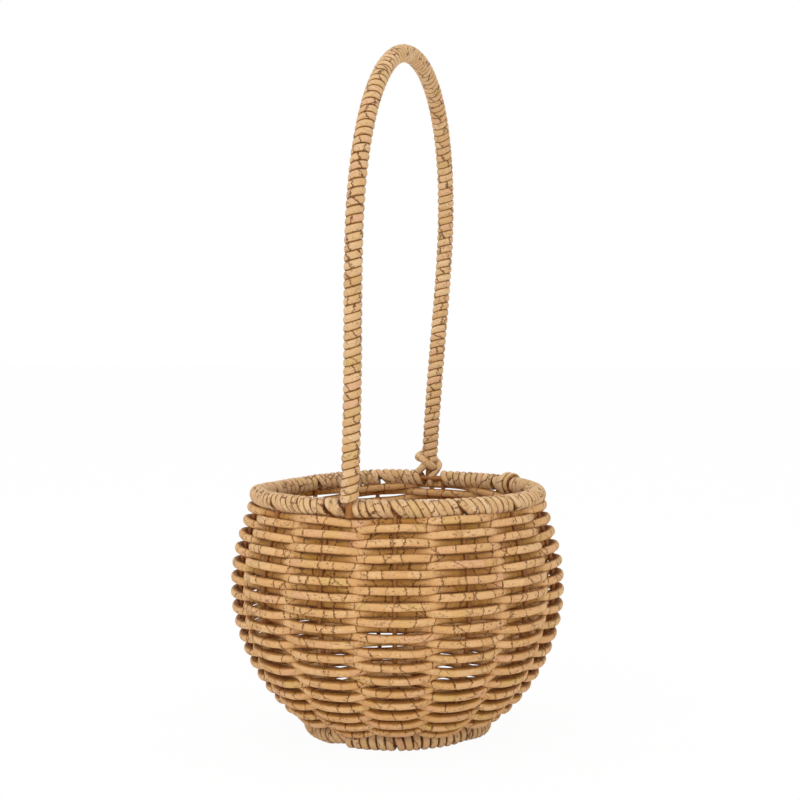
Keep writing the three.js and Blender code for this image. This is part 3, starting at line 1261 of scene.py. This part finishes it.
@dataclass(frozen=True)
class Creases:
    """Forked creases that come in patches and have gaps."""

    stretch: tuple[float, float, float] = (0.5, 0.5, 0.34)
    warp: Pattern = Pattern(0.8)
    warp_reach: float = 0.55
    line: Fade = Fade(0.07, 0.02, 0.85)
    gaps: Pattern = Pattern(0.7, 1.0)
    unbroken: Fade = Fade(-0.03, 0.09)

    def nodes(self, graph: Graph, place: Value) -> Value:
        """Adds the creases.

        Args:
            graph: The material's graph.
            place: Place on the straight cord, in millimetres.

        Returns:
            How strong a crease is.
        """
        warped = place * self.stretch + self.warp.nodes(graph, place) * self.warp_reach
        settings = {"feature": "DISTANCE_TO_EDGE"}
        sockets = {"Vector": warped, "Scale": 1.0}
        edge = graph.add("ShaderNodeTexVoronoi", settings, sockets, "Distance")
        return self.line.nodes(edge) * self.unbroken.nodes(self.gaps.nodes(graph, place))


@dataclass(frozen=True)
class PaperCord:
    """Twisted and varnished paper cord: tinted segments, fibres, creases, thin dark cracks, and painted
    shade on its sides.
    """

    name: str
    body: str = "#d5a670"
    pale: str = "#deb380"
    pink: str = "#d6a57a"
    olive: str = "#cfa968"
    amber: str = "#d0a068"
    light: str = "#edc998"
    crack: str = "#643208"
    # Colours of painted shade: in the grooves along the cord's edges, in the recesses against the ribs, and
    # on the flanks
    groove: str = "#6b3c04"
    recess: str = "#f5e0a4"
    flank: str = "#efdaa2"
    half_width: float = 2.04
    # How much of the cord's edge the painted shade in the grooves covers, how dark it is, and how it is
    # broken
    groove_share: float = 0.22
    groove_shade_strength: float = 0.55
    groove_break: float = 0.0
    groove_whole: Fade = Fade(0.38, 0.56)
    groove_tucked: float = 0.35
    groove_waviness: float = 0.12
    flank_side: Fade = Fade(0.68, 1.0)
    fibres: Pattern = Pattern(1.0, 4.0, 0.6, (1.5, 1.5, 0.14))
    grain: Pattern = Pattern(1.9, 3.0, 0.65, (1.0, 1.0, 0.6))
    blotches: Pattern = Pattern(0.16, 3.0, 0.6)
    ripple: Pattern = Pattern(1.1)
    motes: Pattern = Pattern(1.3, 1.0)
    pale_blotches: Fade = Fade(0.45, 0.75, 0.6)
    amber_blotches: Fade = Fade(0.5, 0.25, 0.5)
    light_motes: Fade = Fade(-0.2, -0.27, 0.7)
    dark_motes: Fade = Fade(0.2, 0.26, 0.6)
    fibre_shade: float = 0.3
    grain_shade: float = 0.4
    rings: Cracks = Cracks(
        spacing=8.5,
        spread=0.6,
        tilt=1.2,
        waviness=2.6,
        width=0.26,
        edge=Fade(1.6, 0.5),
        presence=Fade(0.0, 0.4),
        salts=(0.31, 0.53, 0.77, 0.13),
    )
    segment_salt: float = 0.61
    slashes: Cracks = Cracks(
        spacing=19.0,
        spread=0.4,
        tilt=3.4,
        waviness=3.4,
        width=0.364,
        edge=Fade(1.7, 0.6),
        presence=Fade(0.35, 0.8, 0.85),
        salts=(0.37, 0.59, 0.83, 0.19),
        offset=400.0,
    )
    creases: Creases = Creases()
    creased_from: float = 0.43
    creased_fade: float = 0.13
    mark_depth: float = 0.88
    fibre_height: float = 0.35
    grain_height: float = 0.25
    mark_height: float = -0.9
    ripple_height: float = 0.6
    bump: float = 0.8
    bump_height: float = 0.3 * MM
    roughness: float = 0.6
    roughness_change: float = 0.2
    sheen: float = 0.05
    sheen_roughness: float = 0.5
    gloss: float = 0.15

    def build(self) -> Material:
        """Makes the material, whose patterns follow the straight cord in millimetres.

        Returns:
            The material.
        """
        finish = Finish(self.name)
        graph = finish.graph
        place = graph.add("ShaderNodeAttribute", {"attribute_name": CORD_PLACE}, {}, "Vector") * (1 / MM)
        patterns = (self.fibres, self.grain, self.ripple)
        fibres, grain, ripple = (pattern.nodes(graph, place) for pattern in patterns)
        blotches = self.blotches.nodes(graph, place) + 0.5
        motes = self.motes.nodes(graph, place)
        rings, segments = self.rings.nodes(graph, place, ripple)
        slashes, _ = self.slashes.nodes(graph, place, ripple)
        patches = blotches.ramp(self.creased_from, self.creased_from + self.creased_fade)
        creases = self.creases.nodes(graph, place) * patches
        marks = rings.at_least(slashes).at_least(creases).at_least(self.dark_motes.nodes(motes))
        tint = self._segments(graph, segments, blotches)
        shade = 1.0 + fibres * self.fibre_shade + grain * self.grain_shade
        tint = graph.mix(1.0, tint, graph.vector(shade, shade, shade), "MULTIPLY")
        tint = graph.mix(self.light_motes.nodes(motes), tint, self.light)
        # How far from the cord's middle a place is, which sets the painted shade on its sides
        aside = place.y.size() / self.half_width + ripple * self.groove_waviness
        tint = self._sides(graph, tint, aside, blotches)
        height = fibres * self.fibre_height + grain * self.grain_height
        height = height + marks * self.mark_height + ripple * self.ripple_height
        sockets = {
            "Base Color": graph.mix(marks * self.mark_depth, tint, self.crack),
            "Roughness": self.roughness + (marks - fibres) * self.roughness_change,
            "Sheen Weight": self.sheen,
            "Sheen Roughness": self.sheen_roughness,
            "Specular IOR Level": self.gloss,
        }
        return finish.end_bumpy(height, self.bump, self.bump_height, sockets)

    def _segments(self, graph: Graph, segments: Value, blotches: Value) -> Value:
        """The paper's colour, which changes from segment to segment and in blotches.

        Args:
            graph: The material's graph.
            segments: Numbers of the segments.
            blotches: Broad noise from 0 to 1.

        Returns:
            The colour.
        """
        stops = (
            (0.0, self.olive),
            (0.14, self.body),
            (0.34, self.pale),
            (0.5, self.body),
            (0.66, self.amber),
            (0.8, self.body),
            (1.0, self.pink),
        )
        sockets = {"Fac": graph.chance(segments, self.segment_salt)}
        tint = graph.add("ShaderNodeValToRGB", {"stops": stops}, sockets, "Color")
        tint = graph.mix(self.pale_blotches.nodes(blotches), tint, self.pale)
        return graph.mix(self.amber_blotches.nodes(blotches), tint, self.amber)

    def _sides(self, graph: Graph, tint: Value, aside: Value, blotches: Value) -> Value:
        """Paints shade on the sides of the cord, where it touches its neighbours and the ribs.

        Args:
            graph: The material's graph.
            tint: The colour so far.
            aside: How far from the cord's middle a place is, as a share of its half width.
            blotches: Broad noise that breaks up the painted shade in the grooves.

        Returns:
            The colour.
        """
        tucked = graph.add("ShaderNodeAttribute", {"attribute_name": TUCKED}, {}, "Fac")
        # Painted shade on the faces that lie against the ribs, in the recesses between rows
        tint = graph.mix(tucked, tint, self.recess, "MULTIPLY")
        # Painted shade on the cord's flanks, which tints them towards a darker, saturated brown
        tint = graph.mix(self.flank_side.nodes(aside), tint, self.flank, "MULTIPLY")
        # Painted shade in the grooves along the cord's edges, broken by blotches
        edge = aside.ramp(1.0 - self.groove_share - tucked * self.groove_tucked, 1.0)
        whole = 1.0 + self.groove_break * (self.groove_whole.nodes(blotches) - 1.0)
        return graph.mix(edge * whole * self.groove_shade_strength, tint, self.groove)


@dataclass(frozen=True)
class PaintedIron:
    """Wire under thin red-brown paint, a little worn and dusty."""

    name: str = "red brown painted iron"
    paint: str = "#9b6330"
    worn: str = "#ac7840"
    dark: str = "#60330c"
    clouds: Pattern = Pattern(0.22, 3.0, 0.6)
    grain: Pattern = Pattern(1.9, 4.0, 0.65)
    chips: Pattern = Pattern(0.9, 3.0, 0.7)
    worn_clouds: Fade = Fade(-0.1, 0.2, 0.6)
    dark_grain: Fade = Fade(0.05, 0.3, 0.4)
    chipped: Fade = Fade(0.13, 0.17)
    chip_depth: float = 0.7
    grain_height: float = 0.6
    chip_height: float = -0.8
    bump: float = 0.35
    bump_height: float = 0.15 * MM
    roughness: float = 0.42
    grain_roughness: float = 0.25
    chip_roughness: float = 0.2
    metal: float = 0.15
    gloss: float = 0.3

    def build(self) -> Material:
        """Makes the material, whose patterns follow Object coordinates.

        Returns:
            The material.
        """
        finish = Finish(self.name)
        graph = finish.graph
        place = graph.add("ShaderNodeTexCoord", {}, {}, "Object") * (1 / MM)
        patterns = (self.clouds, self.grain, self.chips)
        clouds, grain, chips = (pattern.nodes(graph, place) for pattern in patterns)
        chips = self.chipped.nodes(chips)
        tint = graph.mix(self.worn_clouds.nodes(clouds), self.paint, self.worn)
        tint = graph.mix(self.dark_grain.nodes(grain), tint, self.dark)
        sockets = {
            "Base Color": graph.mix(chips * self.chip_depth, tint, self.dark),
            "Roughness": self.roughness + grain * self.grain_roughness + chips * self.chip_roughness,
            "Metallic": self.metal,
            "Specular IOR Level": self.gloss,
        }
        height = grain * self.grain_height + chips * self.chip_height
        return finish.end_bumpy(height, self.bump, self.bump_height, sockets)


@dataclass
class IronFrame:
    """The wires: hub ring, foot hoop, rim hoop, ribs and handle wire."""

    frame: BasketFrame
    finish: Material
    recipe: Recipe
    rib_recipe: Recipe
    hub_wire: float = 2.3 * MM
    rib_reach: float = 1.0 * MM
    swell: float = 0.02 * MM

    def _section(self, wire: float) -> dict[str, float]:
        """The inputs for a round section of that diameter."""
        return Section(thickness=wire, width=wire, swell=self.swell).inputs()

    def _hoop(self, name: str, points: Sequence[Vector], wire: float) -> Object:
        """Makes a closed hoop.

        Args:
            name: Its name, which is also its node's.
            points: Its middle line, whose last point is its first.
            wire: Diameter of the wire.

        Returns:
            The hoop.
        """
        base = path_object(f"{name}_piece", points[:-1], closed=True)
        piece = self.recipe.make(base, self.finish, {"Level": UP, **self._section(wire)})
        return placed(piece, [name])

    def _ribs(self) -> Object:
        """Makes all ribs, from the hub ring over the foot ring and up to the rim hoop.

        Returns:
            The ribs, as one piece.
        """
        frame = self.frame
        wall = frame.wall_line()
        top = wall[-1] - Vector((0, 0, self.rib_reach))
        points = [Vector((frame.hub_radius, 0, frame.floor_height)), *wall[:-1], top]
        base = path_object("ribs_piece", points)
        sizes = {"Level": (0.0, 1.0, 0.0), **self._section(frame.rib_wire), **frame.rule.inputs()}
        piece = self.rib_recipe.make(base, self.finish, sizes)
        nodes = [f"rib_{number + 1:02d}" for number in range(frame.rule.ribs)]
        return placed(piece, nodes)

    def _handle(self) -> Object:
        """Makes the handle's wire.

        Returns:
            The wire.
        """
        base = path_object("handle_wire_piece", self.frame.arch())
        sizes = {"Level": self.frame.handle_level(), **self._section(self.frame.handle_wire)}
        return placed(self.recipe.make(base, self.finish, sizes), ["handle_wire"])

    def build(self) -> list[Object]:
        """Makes every wire.

        Returns:
            The wires.
        """
        frame = self.frame
        hub = frame.arc(frame.hub_radius, frame.floor_height, 0.0, TAU)
        foot = frame.arc(frame.foot_radius, frame.foot_height, 0.0, TAU)
        return [
            self._hoop("hub_ring", hub, self.hub_wire),
            self._hoop("foot_hoop", foot, frame.hoop_wire),
            self._hoop("rim_hoop", frame.rim_arc(0.0, TAU), frame.hoop_wire),
            self._ribs(),
            self._handle(),
        ]


@dataclass
class Weaving:
    """The cord woven over and under the ribs: the wall in joined lengths, and the bottom."""

    frame: BasketFrame
    finish: Material
    recipe: Recipe
    cord: Section = Section(thickness=3.8 * MM, width=4.05 * MM, fullness=0.9, swell=0.19 * MM)
    cord_spread: float = 3.0
    last_row_drop: float = 6 * MM
    wall_cords: int = 6
    low_crossings: int = 10
    top_crossings: int = 4
    bottom_crossings: int = 10
    bottom_start: float = 3.6 * MM
    bottom_stop: float = 6.0 * MM

    def _cord(self, name: str, line: Sequence[Vector], seed: int, **changes: float) -> Object:
        """Weaves one cord.

        Args:
            name: Its name, which is also its node's.
            line: The meridian that its rows follow.
            seed: Tells this cord's marks from the others'.
            **changes: Sizes of the weave that differ from the usual ones.

        Returns:
            The cord.
        """
        base = path_object(f"{name}_piece", line)
        cord = replace(self.cord, run_start=seed * self.cord_spread)
        sizes = {**Weave(**changes).inputs(), **cord.inputs(), **self.frame.rule.inputs()}
        return placed(self.recipe.make(base, self.finish, sizes), [name])

    def _wall_cord(self, number: int, crossings: int) -> Object:
        """Weaves one length of the wall.

        Args:
            number: Which length, from 0.
            crossings: How many crossings the wall has.

        Returns:
            The cord.
        """
        first, last = (2 * int(crossings * end / self.wall_cords / 2) + 1 for end in (number, number + 1))
        if number == 0:
            first -= self.low_crossings
        if number == self.wall_cords - 1:
            last += self.top_crossings
        changes = {"first_crossing": float(first), "crossings": float(last - first)}
        return self._cord(f"wall_cord_{number + 1}", self.frame.wall_line(), number, **changes)

    def _bottom_cord(self) -> Object:
        """Weaves the spiral of the bottom, which lies flat and as loosely as the middle rows.

        Returns:
            The cord.
        """
        frame = self.frame
        inner = frame.hub_radius + self.bottom_start
        outer = frame.foot_radius - self.bottom_stop
        last = int((outer - inner) / Weave.row_pitch * frame.rule.ribs)
        return self._cord(
            "bottom_cord",
            [Vector((radius, 0, frame.floor_height)) for radius in (inner, frame.foot_radius)],
            self.wall_cords,
            crossings=float(last - 1 + self.bottom_crossings),
            start_rib=0.0,
            first_row=0.0,
            lowest=0.0,
            highest=outer - inner,
            low_reach=1.0,
            low_girth=0.0,
            high_reach=1.0,
        )

    def build(self) -> list[Object]:
        """Weaves every cord.

        Returns:
            The cords.
        """
        wall = line_length(self.frame.wall_line())
        rows = (wall - Weave.first_row - self.last_row_drop) / Weave.row_pitch
        crossings = int(rows * self.frame.rule.ribs)
        cords = [self._wall_cord(number, crossings) for number in range(self.wall_cords)]
        return [*cords, self._bottom_cord()]


@dataclass
class Bindings:
    """The cord wound round the handle, the rim hoop and the foot hoop."""

    frame: BasketFrame
    finish: Material
    # The rims' finish, whose grooves between turns have darker and wider painted shade
    groove_shaded_finish: Material
    recipe: Recipe
    thickness: float = 2.95 * MM
    fullness: float = 0.95
    overlap: float = 0.98
    cord_spread: float = 5.0
    seed_start: float = 40.0
    handle_thickness: float = 2.6 * MM
    handle_overlap: float = 1.04
    handle_pitch: float = 3.95 * MM
    handle_start: float = 9.1 * MM
    handle_stop: float = 12.2 * MM
    handle_lean: float = 0.62 * MM
    handle_wander: float = 0.5 * MM
    rim_pitch: float = 3.8 * MM
    front_loose: float = 7.6 * MM
    front_tight: float = 0.4 * MM
    back_loose: float = 6.6 * MM
    back_tight: float = 5.2 * MM
    foot_pitch: float = 4 * MM
    foot_break: float = 0.7 * MM
    foot_gap_angle: float = 195.4
    foot_push: float = 0.8 * MM
    foot_wander: float = 0.9 * MM
    margin: float = 0.1

    def _wind(
        self,
        name: str,
        seed: int,
        points: Sequence[Vector],
        wire: float,
        values: Mapping[str, Sequence[float]],
        length: float,
        pitch: float,
        level: Sequence[float] = UP,
        **changes: Any,
    ) -> Object:
        """Winds a cord along a path.

        Args:
            name: The piece's name, which is also its node's.
            seed: Tells this cord's marks from the others'.
            points: The wire's middle line.
            wire: The wire's diameter.
            values: Numbers on the line's points, by attribute name.
            length: How long a stretch is wound.
            pitch: The wanted width of a turn, rounded so that whole turns fill the stretch.
            level: The direction square to the plane in which the wire bends.
            **changes: Sizes of the winding that differ from the usual ones, and where they differ
                "thickness", "overlap" for a turn's width over its pitch, and "finish".

        Returns:
            The cord.
        """
        thickness = changes.pop("thickness", self.thickness)
        overlap = changes.pop("overlap", self.overlap)
        finish = changes.pop("finish", self.groove_shaded_finish)
        turns = round(length / pitch)
        radius = (wire + thickness) / 2
        winding = Winding(turns=float(turns), pitch=length / turns, radius=radius, **changes)
        cord = Section(
            thickness=thickness,
            width=winding.pitch * overlap,
            fullness=self.fullness,
            run_start=self.seed_start + seed * self.cord_spread,
        )
        base = path_object(f"{name}_piece", points, values=values)
        sizes = {"Level": level, **winding.inputs(), **cord.inputs()}
        return placed(self.recipe.make(base, finish, sizes), [name])

    def _handle(self) -> Object:
        """Winds the handle.

        Returns:
            The cord.
        """
        frame = self.frame
        points = frame.arch()
        leans = [self.handle_lean * math.cos(math.pi * i / (len(points) - 1)) for i in range(len(points))]
        return self._wind(
            "handle_binding",
            0,
            points,
            frame.handle_wire,
            {LEAN: leans},
            length=line_length(points) - self.handle_start - self.handle_stop,
            pitch=self.handle_pitch,
            level=frame.handle_level(),
            start=self.handle_start,
            wander=self.handle_wander,
            rib_push=0.0,
            thickness=self.handle_thickness,
            overlap=self.handle_overlap,
            finish=self.finish,
        )

    def _rim(self, name: str, start: float, stop: float, seed: int) -> Object:
        """Winds a stretch of the rim.

        Args:
            name: The piece's name.
            start: Angle at which it starts.
            stop: Angle at which it stops.
            seed: Tells this cord's marks from the others'.

        Returns:
            The cord.
        """
        frame = self.frame
        points = frame.rim_arc(start - self.margin, stop + self.margin)
        angles = [angle_of(point) for point in points]
        values = {
            RIB_ASIDE: [frame.rib_aside(angle) for angle in angles],
            LEAN: [eased(RIM_LEANS, angle) for angle in angles],
            RAISED: [eased(RIM_LUMPS, angle) for angle in angles],
        }
        return self._wind(
            name,
            seed,
            points,
            frame.hoop_wire,
            values,
            length=(stop - start) * frame.rim_radius,
            pitch=self.rim_pitch,
            start=self.margin * frame.rim_radius,
        )

    def _foot(self) -> Object:
        """Winds the foot hoop, whose turns are pressed flat where the basket stands.

        Returns:
            The cord.
        """
        frame = self.frame
        start = self.foot_break / frame.foot_radius
        stop = TAU - start
        points = frame.arc(frame.foot_radius, frame.foot_height, start - self.margin, stop + self.margin)
        angles = [angle_of(point) for point in points]
        for point, angle in zip(points, angles):
            point.z += eased(FOOT_LIFTS, angle)
        gap = math.radians(self.foot_gap_angle)
        values = {
            RIB_ASIDE: [(angle - gap) * frame.foot_radius for angle in angles],
            LEAN: [eased(FOOT_LEANS, angle) for angle in angles],
        }
        return self._wind(
            "foot_binding",
            3,
            points,
            frame.hoop_wire,
            values,
            length=(stop - start) * frame.foot_radius,
            pitch=self.foot_pitch,
            start=self.margin * frame.foot_radius,
            wander=self.foot_wander,
            rib_push=self.foot_push,
            floor=0.0,
            finish=self.finish,
        )

    def build(self) -> list[Object]:
        """Winds every wire.

        Returns:
            The cords.
        """
        frame = self.frame
        left_start = math.asin(self.back_loose / frame.rim_radius)
        left_stop = math.pi - math.asin(self.front_loose / frame.rim_radius)
        right_start = math.pi + math.asin(self.front_tight / frame.rim_radius)
        right_stop = TAU - math.asin(self.back_tight / frame.rim_radius)
        return [
            self._handle(),
            self._rim("rim_binding_left", left_start, left_stop, 1),
            self._rim("rim_binding_right", right_start, right_stop, 2),
            self._foot(),
        ]


@dataclass
class Lashing:
    """The last loops at the handle's back foot, where the handle's cord and the rim's hold each other."""

    frame: BasketFrame
    finish: Material
    recipe: Recipe
    cord: Section = Section(thickness=3.1 * MM, width=3.1 * MM, run_start=70.0)
    level: tuple[float, float, float] = (0.3, 1.0, 0.2)
    steps: int = 12

    def build(self) -> list[Object]:
        """Makes the lashing's strands, each through its corners.

        Returns:
            The strands, as one piece.
        """
        frame = self.frame
        foot = frame.leaned(Vector((frame.foot_x, 0, frame.rim_height)))
        strands = [[foot + Vector(corner) * MM for corner in corners] for _, corners in LASHING]
        lines = [catmull(strand, self.steps) for strand in strands]
        girths = [girth for (girth, _), line in zip(LASHING, lines, strict=True) for _ in line]
        base = path_object("handle_lashing_piece", *lines, values={THICKER: girths})
        sizes = {"Level": self.level, **self.cord.inputs()}
        return [placed(self.recipe.make(base, self.finish, sizes), ["handle_lashing"])]


@dataclass(frozen=True)
class Lamp:
    """A soft square lamp: its power in watts, the length of its side and where it hangs."""

    name: str
    power: float
    size: float
    place: tuple[float, float, float]

    def hang(self, aim: Sequence[float]) -> None:
        """Adds the lamp, which faces a place.

        Args:
            aim: The place.
        """
        data = bpy.data.lights.new(self.name, "AREA")
        data.energy = self.power
        data.size = self.size
        lamp = added(self.name, data)
        lamp.location = self.place
        lamp.rotation_euler = (Vector(aim) - Vector(self.place)).to_track_quat("-Z", "Y").to_euler()


@dataclass
class Studio:
    """Floor, soft lights and the camera at the photograph's place."""

    picture_width: float = 800.0
    focal_pixels: float = 1645.0
    axis_pixel: float = 397.8
    sensor: float = 36.0
    camera_turn: float = math.radians(196)
    camera_distance: float = 820 * MM
    camera_height: float = 205.9 * MM
    camera_dip: float = math.radians(2.82)
    floor_half: float = 6.0
    floor_glow: float = 0.96
    floor_colour: str = "#f8f6f3"
    sky_light: float = 0.84
    aim: tuple[float, float, float] = (0.0, 0.0, 0.14)
    lamps: tuple[Lamp, ...] = (
        Lamp("key lamp", power=8.8, size=1.4, place=(-1.9, 0.8, 1.15)),
        Lamp("top lamp", power=6.0, size=1.6, place=(-0.3, 0.1, 1.9)),
        Lamp("fill lamp", power=7.5, size=1.6, place=(-1.6, -1.1, 0.25)),
    )

    def _camera(self) -> None:
        """Puts the camera where the photograph was taken from."""
        data = bpy.data.cameras.new("camera")
        data.sensor_width = self.sensor
        data.lens = self.focal_pixels / self.picture_width * self.sensor
        data.shift_x = 0.5 - self.axis_pixel / self.picture_width
        camera = added("camera", data)
        away = Vector((math.cos(self.camera_turn), math.sin(self.camera_turn), 0.0))
        camera.location = away * self.camera_distance + Vector((0.0, 0.0, self.camera_height))
        look = -away - Vector((0.0, 0.0, math.tan(self.camera_dip)))
        camera.rotation_euler = look.to_track_quat("-Z", "Y").to_euler()
        bpy.context.scene.camera = camera

    @staticmethod
    def _straight_rays(graph: Graph) -> Value:
        """One for rays from the camera or by way of gloss or glass, else zero."""
        rays = graph.add("ShaderNodeLightPath", {}, {}, "Is Camera Ray")
        return rays.at_least(rays.sibling("Is Glossy Ray")).at_least(rays.sibling("Is Transmission Ray"))

    def _sky(self) -> None:
        """A white world that lights the basket softly."""
        world = bpy.data.worlds.new("studio")
        world.use_nodes = True
        world.node_tree.nodes.clear()
        graph = Graph(world.node_tree)
        seen = graph.add("ShaderNodeBackground", {}, {"Color": WHITE, "Strength": 1.0})
        light = graph.add("ShaderNodeBackground", {}, {"Color": WHITE, "Strength": self.sky_light})
        shown = self._straight_rays(graph)
        both = graph.add("ShaderNodeMixShader", {}, {0: shown, 1: light, 2: seen})
        sink = world.node_tree.nodes.new("ShaderNodeOutputWorld")
        graph.feed(sink.inputs["Surface"], both)
        bpy.context.scene.world = world

    def _floor(self) -> None:
        """A pale floor that keeps the basket's shadow."""
        finish = Finish("pale floor")
        graph = finish.graph
        plain = graph.add("ShaderNodeBsdfDiffuse", {}, {"Color": self.floor_colour})
        glow = graph.add("ShaderNodeEmission", {}, {"Color": WHITE, "Strength": 1.0})
        share = self._straight_rays(graph) * self.floor_glow
        finish.end(graph.add("ShaderNodeMixShader", {}, {0: share, 1: plain, 2: glow}))
        half = self.floor_half
        corners = [(-half, -half, 0.0), (half, -half, 0.0), (half, half, 0.0), (-half, half, 0.0)]
        mesh = bpy.data.meshes.new("floor")
        mesh.from_pydata(corners, [], [(0, 1, 2, 3)])
        mesh.materials.append(finish.material)
        added("floor", mesh)

    def build(self) -> None:
        """Sets up the studio."""
        bpy.context.scene.view_settings.view_transform = "Standard"
        self._camera()
        for lamp in self.lamps:
            lamp.hang(self.aim)
        self._sky()
        self._floor()


# Profiles of this one basket: angles round it in degrees, each with millimetres.
# How far the rim's turns lean
RIM_LEANS = (
    (5, -1.6), (30, -1.4), (60, -0.6), (130, 0.5), (165, 1.2), (176, 1.8), (181, 0.2),
    (184, 0.5), (189, 1.9), (200, 1.3), (214, 1.9), (235, 1.3), (290, 0.6), (350, 0.0),
)
# How far the rim is bent up
RIM_RISES = (
    (0, 0.9), (20, 1.4), (42, 0.6), (51, 0.0), (66, -0.9), (80, -1.3),
    (94, -0.9), (108, 0.0), (285, 0.0), (335, 0.8), (360, 0.9),
)
# How far the rim's turns stand out
RIM_LUMPS = ((314, 0.0), (318, 1.9), (320.5, 1.9), (324.5, 0.0))
# How far the foot ring's turns lean
FOOT_LEANS = ((115, 1.4), (160, 1.4), (166, 0.0), (190, 0.2), (215, -0.9), (235, -0.9), (250, 0.0))
# How far the foot ring's turns are drawn up
FOOT_LIFTS = (
    (146, 0.0), (159.5, 1.7), (162.5, 2.2), (164.8, 0.0), (200, 0.3),
    (222, 0.7), (230, 0.8), (242, 1.5), (270, 0.0),
)
# Strands at the back foot: how much thicker than the cord, as a share, and corners in millimetres,
# each outwards, aside along the rim, and up from the hoop
LASHING = (
    (
        0.3,
        (
            (4.1, -0.7, 14.2), (2.9, 2.9, 13.8), (0.2, 5.0, 13.0), (-2.3, 5.1, 12.0), (-4.2, 2.5, 11.2),
            (-4.4, -0.2, 9.1), (-3.4, -2.6, 7.3), (-1.1, -4.0, 6.0), (1.7, -3.7, 5.2), (3.8, -1.0, 4.6),
        ),
    ),
    (0.26, ((-1.9, -1.2, 9.4), (-3.6, 1.8, 7.3), (-3.9, 4.3, 4.9), (-2.8, 6.9, 2.9), (-1.0, 8.7, 2.0))),
    (
        0.04,
        (
            (3.9, 0.3, 11.4), (3.5, -2.7, 10.4), (1.8, -4.9, 9.0), (0.2, -5.8, 7.2), (-2.2, -4.2, 3.9),
            (-3.0, -1.9, 1.3), (-2.8, -1.7, -1.6), (-1.1, -1.9, -3.6), (1.5, -1.6, -4.1), (3.7, -1.2, -2.2),
        ),
    ),
)
# At the back the upper rows sit higher, and at the handle's front foot the top row sits lower
LIFTS = (
    Lift(angle=0.0, spread=math.radians(42), amount=5 * MM, low=80 * MM, high=112 * MM),
    Lift(angle=math.radians(178), spread=math.radians(9), amount=-1.2 * MM, low=112 * MM, high=117 * MM),
)


def main() -> None:
    """Loads the frame, sets up the studio and makes every piece."""
    logging.basicConfig(level=logging.INFO, format="%(message)s", stream=sys.stdout)
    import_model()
    Studio().build()
    frame = BasketFrame()
    iron = PaintedIron().build()
    woven = PaperCord("woven paper cord").build()
    # The bindings' cord, with painted shade in the grooves between its turns
    cord = PaperCord(
        "wound paper cord",
        body="#d2ab7b",
        pale="#dcb88b",
        pink="#d6a781",
        olive="#caa86c",
        amber="#cda370",
        half_width=1.86,
        groove_share=0.28,
        groove_shade_strength=0.75,
        creased_from=0.48,
        sheen=0.16,
    )
    # The rims' cord: wider and darker painted shade in the grooves between its turns
    deep = replace(
        cord,
        name="wound paper cord with deep grooves",
        groove_share=0.42,
        groove_shade_strength=1.0,
        groove_break=0.75,
        creased_from=0.44,
    )
    wound = cord.build()
    swept = swept_recipe()
    assemblies = (
        IronFrame(frame, iron, swept, ribs_recipe()),
        Weaving(frame, woven, woven_recipe(LIFTS)),
        Bindings(frame, wound, deep.build(), wound_recipe()),
        Lashing(frame, wound, swept),
    )
    for assembly in assemblies:
        for piece in assembly.build():
            LOG.info("%s: %d faces", piece.name, len(piece.data.polygons))


if __name__ == "__main__":
    main()
